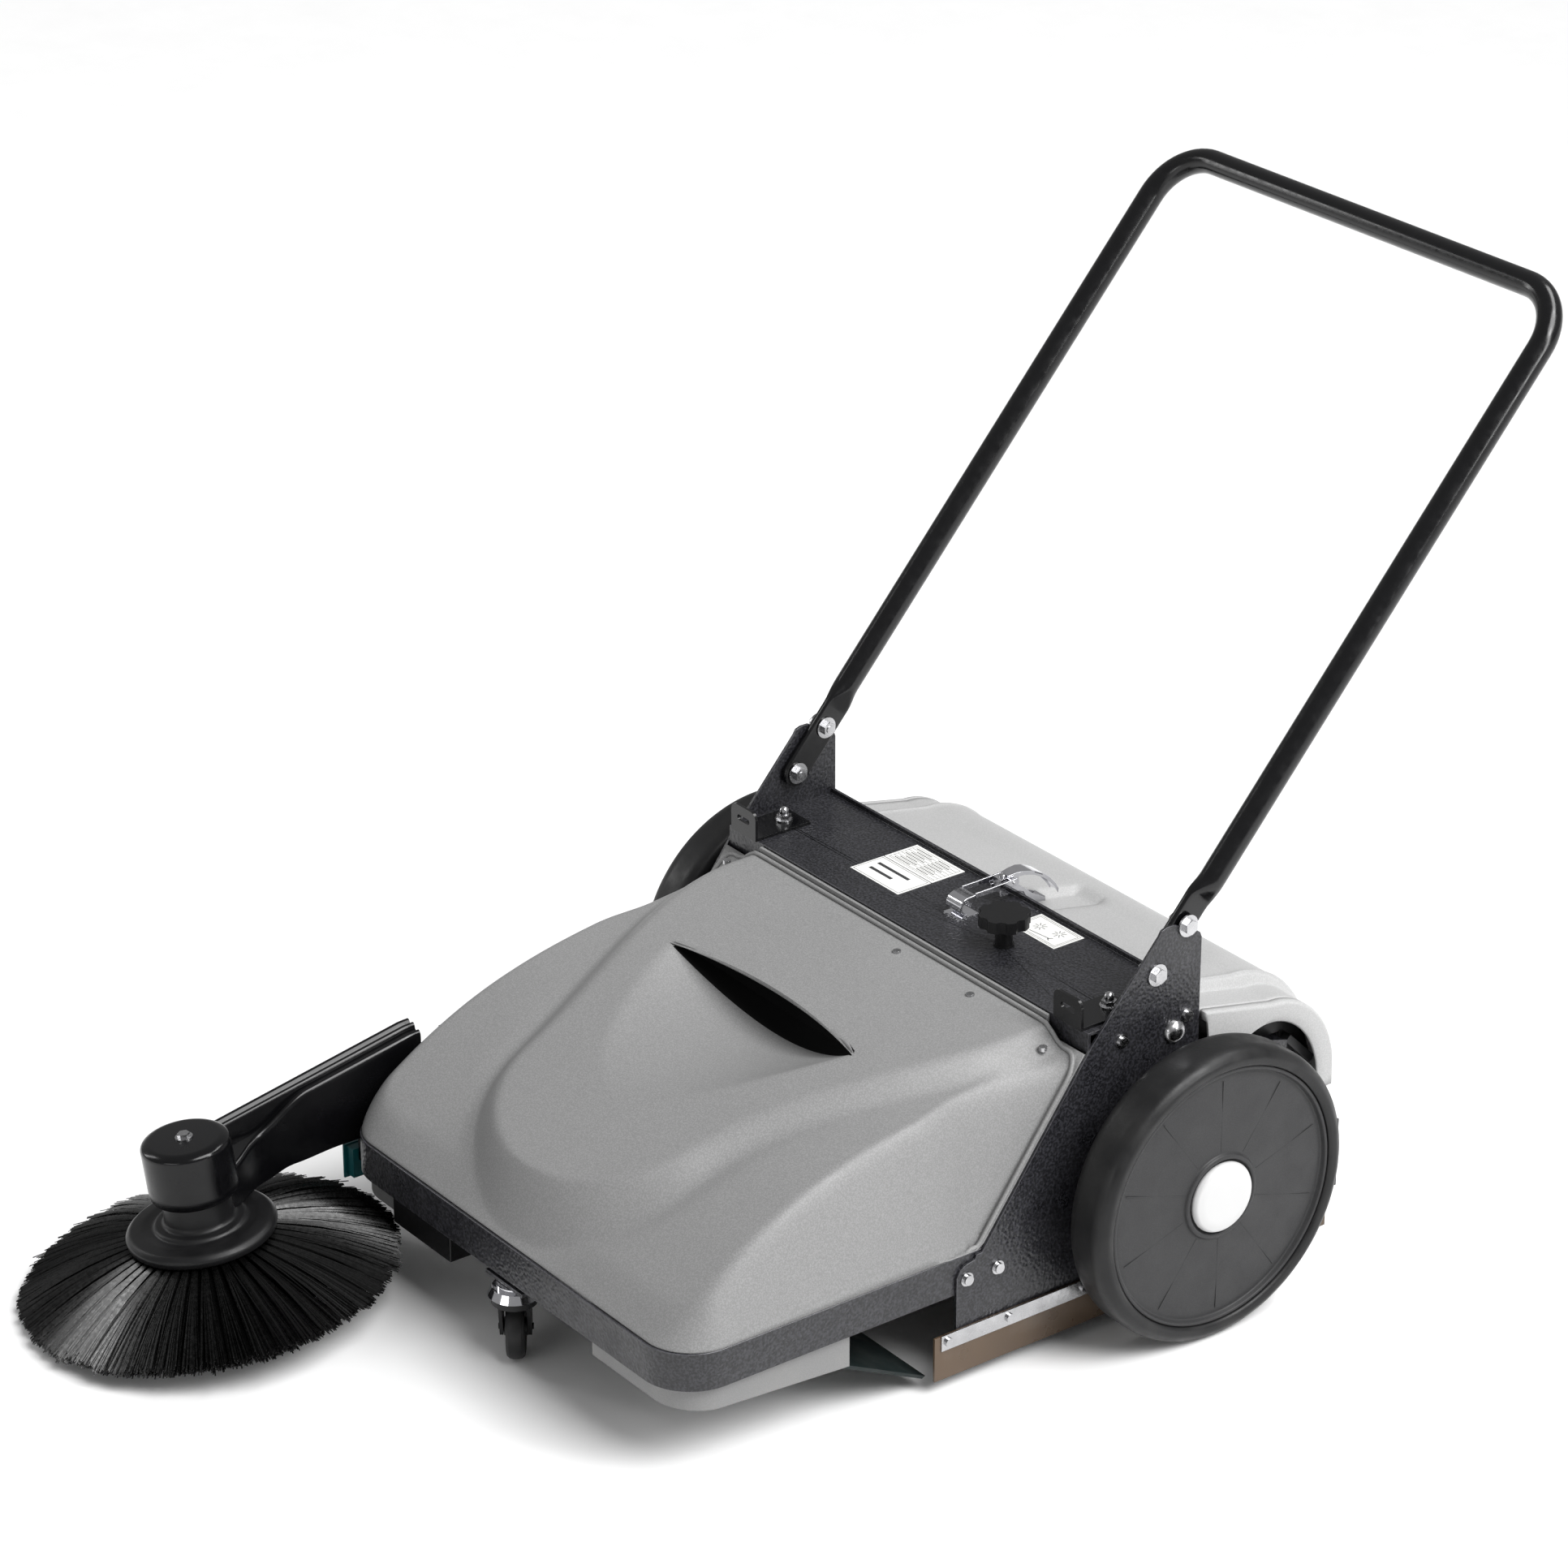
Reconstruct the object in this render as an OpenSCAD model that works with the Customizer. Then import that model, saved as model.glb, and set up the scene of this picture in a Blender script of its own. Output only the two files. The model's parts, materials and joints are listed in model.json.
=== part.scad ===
// Walk-behind push sweeper with a main brush, a side brush and a lift-out hopper.
// +X is the machine's left side, -Y is its front and +Z is up.
// Modules are written from a point on the floor under the wheel axle's centre.

/* [Wheels] */
// Radius of both drive wheels
wheel_r = 150; // [140:1:160]
// Width of a drive wheel
wheel_w = 50; // [44:1:52]
// Distance from the machine's centre to a wheel's inner face
wheel_in = 314; // [312:1:318]
// Radius of the wheel disc inside the tyre
disc_r = 131.6; // [126:0.2:134]

/* [Chassis] */
// Outer face of a side plate, from the centre
plate_out = 280; // [280:1:281]
// Thickness of the steel sheet
sheet = 3; // [2.5:0.5:3]
// Height of the top plate's upper face
deck_z = 317; // [317:1:318]
// Front edge of the top plate
deck_front = -97; // [-98:1:-96]
// Rear edge of the top plate
deck_rear = 32; // [31:1:33]
// Front face of the steel band round the hopper
band_front = -563; // [-566:1:-561]
// Lower edge of the band
band_z0 = 94.5; // [92:0.5:96]
// Upper edge of the band
band_z1 = 133.5; // [132:0.5:134]
// Radius of the band's front corners
band_r = 52; // [48:1:56]

/* [Handle] */
// Outer diameter of the handle tube
tube_d = 25; // [24:1:26]
// Wall of the handle tube
tube_wall = 1.5; // [1.2:0.1:2]
// Length from the lower bolt to the cross bar's centre
handle_len = 732.7; // [700:1:760]
// Angle of the handle above the floor
handle_angle = 48.6; // [46:0.2:50]
// Centre of a handle leg, from the machine's centre
leg_x = 276; // [275:0.5:277]
// Bend radius at the handle's upper corners
bend_r = 54; // [50:1:60]

/* [Main brush] */
// Radius over the bristles
brush_r = 122.5; // [118:0.5:123]
// Number of bristle rows
brush_rows = 10; // [8:1:12]
// Radius of the friction roller on the left wheel's hub
drive_roller_r = 36; // [34:1:37]
// Radius of the rubber roller on the brush's shaft
brush_roller_r = 20; // [18:1:21]

/* [Side brush] */
// Radius over the side brush's bristles
side_r = 188; // [180:1:190]
// Lean of the side brush's spindle towards the front left corner
side_lean = 7; // [6:0.5:7]

/* [Hidden] */
$fn = 64;

gap = 0.3;
run_clear = 0.05;
plate_in = plate_out - sheet;
wheel_out = wheel_in + wheel_w;
axle_z = wheel_r;
axle_r = 10;

// The brush hangs on the carrier's arms, where its roller meets the wheel's drive roller
roller_dist = drive_roller_r + brush_roller_r + gap;
roller_angle = atan2(-25.2, -50);
brush_y = roller_dist * cos(roller_angle);
brush_z = axle_z + roller_dist * sin(roller_angle);
brush_half = 248;
shaft_r = 8;

// Handle bolts
bolt_r = 4;
pivot_y = -19;
pivot_z = 355;
bolt_pitch = 53.5;
flat_t = 8;
flat_x0 = plate_in - gap - flat_t;

// Side brush: the flange's centre, and the spindle's lean about X and Y
side_x = -270.6;
side_y = -723.3;
side_z = 82;
side_tilt_x = asin(0.8 * sin(side_lean));
side_tilt_y = -asin(0.6 * sin(side_lean) / cos(side_tilt_x));
arm_x = -294.5;
arm_pivot_y = -470;
arm_pivot_z = 150;

// Caster: its stem, wheel radius, the turn it stands at and its trail
caster_y = -550;
caster_r = 31;
caster_turn = 53;
caster_trail = 12;

// Side brush lever's pin
lever_y = -520;
lever_z = 94;

// Height knob
knob_x = 90;
knob_y = -45;
knob_r = 25;
lobes = 8;

// Hopper cover
cover_rear = -101;
cover_front = -560;
cover_half = 276.5;
cover_corner = 50;
cover_wall = 3;
cover_base = band_z1 + 0.7;
cover_round = 28;
cover_rows = 23;
cover_cols = 28;
lip_row = 15;
recess_wall = 5;
notch_h = 3;

// Rear cover: hinge line near the lower rear edge
rear_hinge_y = 199;
rear_hinge_z = 110;
dome_half = 240;
end_half = 285;
skin = 2.5;

// Latch
latch_x = 14;
latch_y = 12;
latch_z = 330;

// The whole model stands with its box's bottom centre at the origin
handle_top_y = pivot_y + handle_len * cos(handle_angle) + tube_d / 2;
brush_low_x = side_x + 0.6 * 58 * sin(side_lean) - side_r * cos(side_tilt_y);
brush_low_y = side_y + 0.8 * 58 * sin(side_lean) - side_r * cos(side_tilt_x);
origin_x = -(brush_low_x + wheel_out + 2) / 2;
origin_y = -(brush_low_y + handle_top_y) / 2;

module place() translate([origin_x, origin_y, 0]) children();

module both_sides() {
    children();
    mirror([1, 0, 0]) children();
}

// Round bar along X at a height and a place along the machine
module x_bar(x0, x1, r, y = 0, z = 0)
    translate([x0, y, z]) rotate([0, 90, 0]) cylinder(r = r, h = x1 - x0);

// Plate parallel to the machine's sides, drawn in Y and Z
module x_plate(x0, x1)
    translate([x0, 0, 0]) rotate([90, 0, 90]) linear_extrude(x1 - x0) children();

module hex_x(x0, x1, across, y, z)
    translate([x0, y, z]) rotate([0, 90, 0]) cylinder(r = across / sqrt(3), h = x1 - x0, $fn = 6);

module block(low, high)
    translate(low) cube(high - low);

// Arc slot or ring sector, from angle a0 to a1
module ring_sector(r0, r1, a0, a1) {
    far = r1 * 2;
    intersection() {
        difference() {
            circle(r1);
            circle(r0);
        }
        polygon([[0, 0], [far * cos(a0), far * sin(a0)],
            [far * cos((a0 + a1) / 2), far * sin((a0 + a1) / 2)], [far * cos(a1), far * sin(a1)]]);
    }
}

// ---------- Chassis ----------

module plate_outline()
    polygon([[-250, 52], [-250, 113], [-246, 121], [-238, 125], [-229, 126.5], [-227, 131],
        [-221, 131.5], [deck_front + 2, 304], [-17, 393], [-14, 398], [-8, 400], [9, 400],
        [33, 383], [35, 378], [35, 205], [190, 130], [220, 125], [220, 52]]);

module side_plate() {
    color([0.16, 0.16, 0.18]) x_plate(plate_in, plate_out) difference() {
        plate_outline();
        translate([0, axle_z]) circle(axle_r);
        translate([0, axle_z]) ring_sector(roller_dist - 9.5, roller_dist + 9.5,
            roller_angle - 20, roller_angle + 20);
        translate([pivot_y, pivot_z]) circle(bolt_r);
        // Open slot that lets the upper bolt swing out when the handle folds
        translate([pivot_y, pivot_z]) ring_sector(bolt_pitch - bolt_r - gap,
            bolt_pitch + bolt_r + gap, handle_angle, handle_angle + 40);
        translate([pivot_y + bolt_pitch * cos(handle_angle), pivot_z + bolt_pitch * sin(handle_angle)])
            circle(bolt_r + gap);
        translate([rear_hinge_y, rear_hinge_z]) circle(3);
    }
}

module side_plate_left() side_plate();

module side_plate_right() mirror([1, 0, 0]) side_plate();

module top_plate() {
    color([0.16, 0.16, 0.18]) difference() {
        union() {
            block([-plate_in, deck_front, deck_z - sheet], [plate_in, deck_rear, deck_z]);
            block([-plate_in, deck_rear - sheet, deck_z - 25], [plate_in, deck_rear, deck_z + 5]);
            block([-plate_in, deck_front, deck_z - 22], [plate_in, deck_front + sheet, deck_z]);
        }
        translate([knob_x, knob_y, deck_z - 10]) cylinder(r = 4 + run_clear, h = 20);
        for (s = [-1, 1]) translate([s * 250, -50, deck_z - 10]) cylinder(r = 3.2, h = 20);
    }
}

module band_outline(half, front, r) {
    translate([-half, front + r]) square([2 * half, -195 - front - r]);
    translate([-half + r, front]) square([2 * (half - r), r + 1]);
    for (s = [-1, 1]) translate([s * (half - r), front + r]) circle(r);
}

module front_band() {
    half = plate_in - 0.2;
    color([0.15, 0.15, 0.17]) translate([0, 0, band_z0]) linear_extrude(band_z1 - band_z0)
        difference() {
            band_outline(half, band_front, band_r);
            translate([0, 0.01]) band_outline(half - sheet, band_front + sheet, band_r - sheet);
            translate([-half + sheet, -200]) square([2 * (half - sheet), 10]);
        }
}

module stub_axles() color([0.6, 0.6, 0.62]) both_sides() {
    x_bar(256, wheel_out - 6, axle_r, 0, axle_z);
    x_bar(plate_in - 6, plate_in, 24, 0, axle_z);
}

module mounting_brackets() color([0.1, 0.1, 0.11]) both_sides() difference() {
    union() {
        block([230, deck_front - sheet, deck_z], [270, -32, deck_z + sheet]);
        block([230, deck_front - sheet, deck_z], [270, deck_front, deck_z + 23]);
        translate([250, deck_front, deck_z + 22]) rotate([90, 0, 0]) linear_extrude(sheet) {
            translate([-12, 0]) square([24, 8]);
            for (s = [-1, 1]) translate([s * 12, 0]) circle(8);
        }
    }
    translate([250, -50, deck_z - 1]) cylinder(r = 3.2, h = 10);
    slot_z = deck_z + 17;
    for (s = [-7, 7]) translate([250 + s, deck_front - 10, slot_z]) rotate([-90, 0, 0])
        cylinder(r = 3, h = 20);
    block([243, deck_front - 10, slot_z - 3], [257, deck_front + 5, slot_z + 3]);
}

module bracket_nuts() color([0.75, 0.75, 0.77]) both_sides() translate([250, -50, 0]) {
    translate([0, 0, deck_z + sheet]) cylinder(r = 9, h = 1.5);
    translate([0, 0, deck_z + sheet + 1.5]) cylinder(r = 7.5, h = 5, $fn = 6);
    translate([0, 0, deck_z + sheet + 6.5]) cylinder(r = 5, h = 3);
    translate([0, 0, deck_z + sheet + 9.5]) intersection() {
        sphere(5);
        cylinder(r = 6, h = 6);
    }
}

module plate_screws() color([0.75, 0.75, 0.77]) both_sides() {
    for (p = [[-238.6, 109.6], [-202.3, 109.6], [-59.3, 298.7], [19.3, 301.6]]) {
        x_bar(plate_out, plate_out + 1.2, 7, p[0], p[1]);
        x_bar(plate_out + 1.2, plate_out + 4.5, 5, p[0], p[1]);
    }
    translate([plate_out, 4.2, 289.4]) rotate([0, 90, 0])
        rotate_extrude() polygon([[0, 0], [11.5, 0], [11, 3], [8.8, 6], [5, 8], [0, 8.8]]);
}

// Bolt with a washer and head outside the ear, and a washer and nut on the handle's flat
module ear_bolt(y, z, out_gap, in_gap) {
    x_bar(flat_x0 - 8, plate_out + 3, bolt_r, y, z);
    x_bar(plate_out + out_gap, plate_out + out_gap + 2, 11, y, z);
    hex_x(plate_out + out_gap + 2, plate_out + out_gap + 7, 13, y, z);
    x_bar(flat_x0 - in_gap - 1.5, flat_x0 - in_gap, 11, y, z);
    hex_x(flat_x0 - in_gap - 7, flat_x0 - in_gap - 1.5, 13, y, z);
}

module handle_pivot_bolts() color([0.78, 0.78, 0.8]) both_sides()
    ear_bolt(pivot_y, pivot_z, 0, gap);

module labels() color([0.92, 0.92, 0.9]) {
    block([-129, -60, deck_z], [-54, -19, deck_z + 0.5]);
    block([-129, -18, deck_z], [-54, 23, deck_z + 0.5]);
    block([62, -14, deck_z], [126, 24, deck_z + 0.5]);
}

module latch_keeper() color([0.8, 0.8, 0.82]) difference() {
    union() {
        block([latch_x - 12, -48, deck_z], [latch_x + 12, -24, deck_z + 1.5]);
        x_bar(latch_x - 8, latch_x + 8, 7, -36, deck_z + 8.3);
    }
    x_bar(latch_x - 9, latch_x + 9, 5.2, -36, deck_z + 8.3);
    block([latch_x - 9, -36, deck_z + 1.6], [latch_x + 9, -28, deck_z + 8.3]);
}

module side_skirts() color([0.45, 0.35, 0.24]) both_sides()
    block([plate_out, -277, 14], [plate_out + 2.5, 205, 60]);

module skirt_clamps() color([0.72, 0.72, 0.74]) both_sides() {
    block([plate_out + 2.5, -270, 45], [plate_out + 4, 200, 61]);
    for (y = [-262, -190, -100, 0, 100, 190]) x_bar(plate_out + 4, plate_out + 6.5, 4.5, y, 53);
}

module front_flap() color([0.1, 0.13, 0.13])
    x_plate(-268, 268) polygon([[-376, bin_z(-376)], [-366, bin_z(-366)], [-276, 14], [-280, 12]]);

module rear_flap() color([0.08, 0.08, 0.08]) block([-272, 212, 12], [272, 215, 94]);

module rear_bar() color([0.15, 0.15, 0.17]) {
    block([-plate_in, 209, 56], [plate_in, 212, 94]);
    block([-plate_in, 192, 56], [plate_in, 209, 59]);
}

module filter_tray() color([0.3, 0.3, 0.32]) {
    block([-plate_in, 46, 228], [plate_in, 150, 230]);
    block([-plate_in, 44, 222], [plate_in, 46, 262]);
    both_sides() x_plate(plate_in - 2, plate_in) polygon([[-50, 262], [46, 262], [150, 232], [150, 224],
        [40, 222], [-50, 254]]);
}

module dust_filter() color([0.85, 0.83, 0.76]) difference() {
    block([-225, 50, 230], [225, 144, 258]);
    for (i = [0:21]) translate([-212 + i * 20, 56, 240]) cube([6, 82, 30]);
}

module caster_bracket() color([0.12, 0.12, 0.13]) difference() {
    union() {
        block([-30, band_front + 1, 86], [30, -528, 90]);
        block([-30, -532, 90], [30, -528, 126]);
        block([-30, band_front + sheet + 0.01, 126], [30, -528, 130]);
    }
    translate([0, caster_y, 80]) cylinder(r = 5 + run_clear, h = 60);
}

module spring_box() color([0.1, 0.1, 0.11]) difference() {
    block([-190, band_front + sheet + 0.01, 66], [-92, -506, 128]);
    block([-186, -556, 70], [-96, -510, 140]);
}

module belt_outline(grow)
    hull() {
        translate([0, axle_z]) circle(40 + grow, $fn = 40);
        translate([arm_pivot_y, arm_pivot_z]) circle(25 + grow, $fn = 32);
    }

module wheel_belt() color([0.07, 0.07, 0.07]) x_plate(-296, -290) difference() {
    belt_outline(5);
    belt_outline(0.5);
}

// Top and outer walls that cover the belt between the wheel and the side brush arm
module belt_guard() color([0.1, 0.1, 0.1]) {
    x_plate(-306, -304) polygon([[-52, 112], [-52, 200], [-428, 186], [-428, 118]]);
    x_plate(-304, -plate_out) polygon([[-52, 197.5], [-52, 200], [-428, 186], [-428, 183.5]]);
}

// Triangular plate under the arm's root, with the pivot stud that the arm swings on
module arm_bracket() color([0.1, 0.1, 0.12]) {
    x_plate(-plate_in - 4, -plate_in) difference() {
        polygon([[-540, 86], [-540, 112], [-486, 168], [-436, 168], [-436, 98], [-500, 86]]);
        translate([lever_y, lever_z]) circle(2.8 + run_clear);
    }
    x_bar(-311, -plate_in, 6, arm_pivot_y, arm_pivot_z);
    x_bar(-316, -311, 11, arm_pivot_y, arm_pivot_z);
}

module hinge_pins() color([0.7, 0.7, 0.72]) both_sides() {
    x_bar(262, plate_out, 3, rear_hinge_y, rear_hinge_z);
    x_bar(plate_out, plate_out + 1.6, 6, rear_hinge_y, rear_hinge_z);
}

// ---------- Drive wheels ----------

module tyre() color([0.11, 0.11, 0.12]) translate([wheel_in, 0, axle_z]) rotate([0, 90, 0])
    rotate_extrude($fn = 96) {
        edge = 11;
        polygon([[disc_r, 2], [disc_r + 4, 0], [wheel_r - edge, 0], [wheel_r - edge * 0.5, edge * 0.13],
            [wheel_r - edge * 0.13, edge * 0.5], [wheel_r, edge], [wheel_r, wheel_w - edge],
            [wheel_r - edge * 0.13, wheel_w - edge * 0.5], [wheel_r - edge * 0.5, wheel_w - edge * 0.13],
            [wheel_r - edge, wheel_w], [disc_r + 4, wheel_w], [disc_r, wheel_w - 2]]);
    }

module wheel_disc() color([0.2, 0.2, 0.21]) translate([wheel_in, 0, axle_z]) rotate([0, 90, 0]) {
    rotate_extrude($fn = 96) polygon([[axle_r + run_clear, -8], [20, -8], [20, 36], [disc_r - 5, 38],
        [disc_r - 5, 3], [disc_r, 3], [disc_r, wheel_w - 4], [disc_r - 3, wheel_w - 4],
        [disc_r - 4, 43], [42, 41], [42, 46], [38, 46], [38, 42], [axle_r + run_clear, 42]]);
    for (i = [0:9]) rotate([0, 0, i * 36]) translate([19, -1.5, 14]) cube([disc_r - 23, 3, 24]);
}

module hub_cap() color([0.78, 0.78, 0.78]) translate([wheel_in, 0, axle_z]) rotate([0, 90, 0])
    rotate_extrude($fn = 96) polygon([[0, wheel_w - 3.5], [12, wheel_w - 3.5], [12, 42], [35, 42],
        [36, 46], [35, 49], [30, 51], [18, 52], [0, 52]]);

module left_drive_roller() color([0.85, 0.83, 0.75]) translate([287, 0, axle_z]) rotate([0, 90, 0])
    rotate_extrude() polygon([[axle_r + run_clear, 0], [drive_roller_r - 1, 0], [drive_roller_r, 1],
        [drive_roller_r, 11], [drive_roller_r - 1, 12], [19, 12], [19, wheel_in - 8 - 287],
        [axle_r + run_clear, wheel_in - 8 - 287]]);

module left_tyre() tyre();

module left_wheel_disc() wheel_disc();

module left_hub_cap() hub_cap();

module right_tyre() mirror([1, 0, 0]) tyre();

module right_wheel_disc() mirror([1, 0, 0]) wheel_disc();

module right_hub_cap() mirror([1, 0, 0]) hub_cap();

module right_pulley() color([0.2, 0.2, 0.2]) translate([-wheel_in + 8, 0, axle_z]) rotate([0, 90, 0])
    rotate_extrude() polygon([[axle_r + run_clear, 0], [19, 0], [19, 6.5], [44, 6.5], [44, 9],
        [40, 10], [40, 18], [44, 19], [44, 21], [axle_r + run_clear, 21]]);

// ---------- Main brush ----------

// Arms that pivot on the stub axles, joined by a bar over the brush
module brush_carrier() color([0.25, 0.25, 0.27]) {
    both_sides() x_plate(261, 266) difference() {
        union() {
            translate([0, axle_z]) circle(22);
            translate([brush_y, brush_z]) circle(18);
            polygon([[-18, axle_z - 12], [brush_y - 6, brush_z - 16], [brush_y - 16, brush_z + 8],
                [-70, 255], [-62, 268], [-48, 268], [-8, axle_z + 19]]);
        }
        translate([0, axle_z]) circle(axle_r + run_clear);
        translate([brush_y, brush_z]) circle(shaft_r + run_clear);
    }
    difference() {
        x_bar(-261, 261, 6, -57, 261);
        x_bar(-262, 262, 4, -57, 261);
    }
    // Slotted nut block under the height knob's screw
    difference() {
        block([knob_x - 14, -66, 266.5], [knob_x + 14, -31, 280]);
        block([knob_x - 4.6, -60, 269], [knob_x + 4.6, -36.5, 281]);
    }
}

module brush_core() color([0.35, 0.35, 0.35]) {
    difference() {
        x_bar(-brush_half, brush_half, 32, brush_y, brush_z);
        x_bar(-brush_half + 4, brush_half - 4, 28, brush_y, brush_z);
    }
    x_bar(-272, 303, shaft_r, brush_y, brush_z);
}

module brush_bristles() color([0.05, 0.05, 0.05]) for (i = [0:brush_rows - 1])
    translate([-brush_half, brush_y, brush_z]) rotate([i * 360 / brush_rows, 0, 0])
        translate([0, -2.5, 31.8]) cube([2 * brush_half, 5, brush_r - 31.8]);

module brush_roller() color([0.1, 0.1, 0.1]) difference() {
    x_bar(286, 300, brush_roller_r, brush_y, brush_z);
    x_bar(285, 301, shaft_r, brush_y, brush_z);
}

// ---------- Height adjuster ----------

module height_knob() color([0.06, 0.06, 0.06]) translate([knob_x, knob_y, 0]) {
    translate([0, 0, deck_z + 22]) linear_extrude(12) difference() {
        circle(knob_r);
        for (i = [0:lobes - 1]) rotate(i * 360 / lobes) translate([knob_r + 3.5, 0]) circle(6.5);
    }
    translate([0, 0, deck_z + 2]) cylinder(r = 8.5, h = 20.5);
    translate([0, 0, deck_z + gap]) cylinder(r = 10, h = 1.7);
    translate([0, 0, 273.5]) cylinder(r = 4, h = deck_z - 271.5);
}

// ---------- Hopper ----------

function clamp01(v) = min(1, max(0, v));
function smooth(v) = let (t = clamp01(v)) t * t * (3 - 2 * t);

// Height of the raised tongue and of the shoulders, along the cover
function along(y) = (cover_rear + 4 - y) / 463;
function tongue_z(y) = 305 - 114 * pow(along(y), 2);
function shoulder_z(y) = 292 - 40 * along(y) - 110 * pow(along(y), 4);

// Outline of the tongue: 1 on its edge, less inside
function tongue_half(y) = 125 + 99 * smooth((y + 470) / 340);
function tongue_q(x, y) = sqrt(pow(x / tongue_half(y), 2) + pow(max(0, -440 - y) / 95, 2));

// Hand recess behind a curved lip
function lip_y(x) = -248 - 18 * pow(x / 142, 2);
function recess_v(x, y) = clamp01((lip_y(x) - y) / 185);
function recess_half(v) = 142 * sqrt(max(0.0001, 1 - v));
function recess_depth(x, y) = let (v = recess_v(x, y), c = abs(x) / recess_half(v))
    y > lip_y(x) - 0.01 || c >= 1 ? 0 : 46 * pow(1 - v, 1.3) * (1 - c * c);

function edge_in(x, y) = let (dx = abs(x) - cover_half + cover_corner, dy = cover_front + cover_corner - y)
    dx > 0 && dy > 0 ? cover_corner - sqrt(dx * dx + dy * dy) : min(cover_half - abs(x), y - cover_front);
function edge_rise(e) = let (t = clamp01(e / cover_round)) sqrt(1 - pow(1 - t, 2));

function rim_z(y) = cover_base + max(0, y + 221) * 1.36;
function crown_z(x, y) = let (away = (tongue_q(x, y) - 1) * tongue_half(y), s = 1 - smooth(away / 38))
    shoulder_z(y) + (tongue_z(y) + 3 - shoulder_z(y)) * s - recess_depth(x, y);
function cover_z(x, y) = rim_z(y) + (crown_z(x, y) - rim_z(y)) * edge_rise(edge_in(x, y));

function plan_half(y) = let (d = cover_front + cover_corner - y)
    d <= 0 ? cover_half : cover_half - cover_corner + sqrt(max(0, pow(cover_corner, 2) - d * d));

function row_y(j, x) = let (lip = lip_y(x)) j <= lip_row
    ? cover_front + (lip - recess_wall - cover_front) * (1 - cos(90 * j / lip_row))
    : lip + (cover_rear - lip) * (j - lip_row - 1) / (cover_rows - lip_row - 1);
function col_u(i) = sin(90 * (2 * i / cover_cols - 1));

function outer_point(i, j) = let (y = row_y(j, cover_half * col_u(i)), x = plan_half(y) * col_u(i),
    notch = j == 0 && i == cover_cols / 2 ? notch_h : 0)
    [x, y, max(rim_z(y) + notch, cover_z(x, y))];
function inner_point(i, j) = let (p = outer_point(i, j), shrink = 1 - cover_wall / cover_half,
    rise = edge_rise(edge_in(p[0], p[1])),
    behind = j == lip_row || j == lip_row + 1 ? 1 : 1 - clamp01((p[1] - cover_front) / cover_round))
    [p[0] * shrink, p[1] + cover_wall * behind, p[2] - cover_wall * max(0.12, rise)];

module cover_shell() {
    n = cover_cols + 1;
    count = n * (cover_rows + 1);
    points = concat([for (j = [0:cover_rows]) for (i = [0:cover_cols]) outer_point(i, j)],
        [for (j = [0:cover_rows]) for (i = [0:cover_cols]) inner_point(i, j)]);
    outer = [for (j = [0:cover_rows - 1]) for (i = [0:cover_cols - 1]) let (a = j * n + i)
        each i < cover_cols / 2 ? [[a, a + n, a + 1], [a + 1, a + n, a + n + 1]]
            : [[a, a + n, a + n + 1], [a, a + n + 1, a + 1]]];
    inner = [for (f = outer) [f[0] + count, f[2] + count, f[1] + count]];
    border = concat([for (i = [0:cover_cols - 1]) i], [for (j = [0:cover_rows - 1]) j * n + cover_cols],
        [for (i = [cover_cols:-1:1]) cover_rows * n + i], [for (j = [cover_rows:-1:1]) j * n]);
    m = len(border);
    rim = [for (k = [0:m - 1]) let (a = border[k], b = border[(k + 1) % m])
        each [[a, b, a + count], [b, b + count, a + count]]];
    polyhedron(points, concat(outer, inner, rim));
}

module front_cover() color([0.5, 0.5, 0.5]) cover_shell();

// Upright lip along the cover's rear edge, in front of the top plate
module cover_lip() color([0.5, 0.5, 0.5]) block([-222, cover_rear, 298], [222, cover_rear + 3.4, 315]);

// Bin plan: round front corners, and a well that leaves room for the caster's bracket
module bin_outline(inset) {
    half = 270 - inset;
    front = -553 + inset;
    r = 44 - inset;
    difference() {
        union() {
            translate([-half, front + r]) square([2 * half, -366 - front - r + inset]);
            translate([-half + r, front]) square([2 * (half - r), r + 1]);
            for (s = [-1, 1]) translate([s * (half - r), front + r]) circle(r);
        }
        translate([-200 - inset, -570]) square([330 + 2 * inset, 70 + inset]);
    }
}

// Underside of the bin's sloping floor
function bin_z(y) = 72 - 0.07 * (y + 560);

module bin_slice(inset, lift, top) intersection() {
    linear_extrude(200) bin_outline(inset);
    x_plate(-300, 300) polygon([[-570, bin_z(-570) + lift], [-350, bin_z(-350) + lift], [-350, top],
        [-570, top]]);
}

module hopper_bin() color([0.55, 0.55, 0.55]) difference() {
    union() {
        bin_slice(0, 0, 134.2);
        translate([0, 0, 134]) linear_extrude(1.4) bin_outline(-2.9);
    }
    bin_slice(3, 3, 140);
}

module cover_screws() color([0.7, 0.7, 0.72]) for (x = [-245, 27, 138, 245])
    translate([x, -124, cover_z(x, -124) - 2]) cylinder(r = 4, h = 4);

// ---------- Rear cover ----------

// Profile in Y and Z: nearly flat on top, then an elliptical corner and a straight rear wall
function shell_profile(front, top, peak, rear, low) = concat([[front, low], [front, top]],
    [for (a = [90:-7.5:0]) [peak[0] + (rear - peak[0]) * cos(a), 190 + (peak[1] - 190) * sin(a)]],
    [[rear, low]]);

module shell_section(front, top, peak, rear, low) difference() {
    polygon(shell_profile(front, top, peak, rear, low));
    polygon(shell_profile(front - 5, top - skin + 1, [peak[0], peak[1] - skin], rear - skin, low - 5));
}

module arch_face() difference() {
    polygon(shell_profile(39, 299, [125, 281], 205, 170));
    polygon(concat([[30, 160], [30, 280], [44, 277]],
        [for (a = [90:-7.5:0]) [118 + 65 * cos(a), 182 + 80 * sin(a)]], [[183, 160]]));
}

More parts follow.
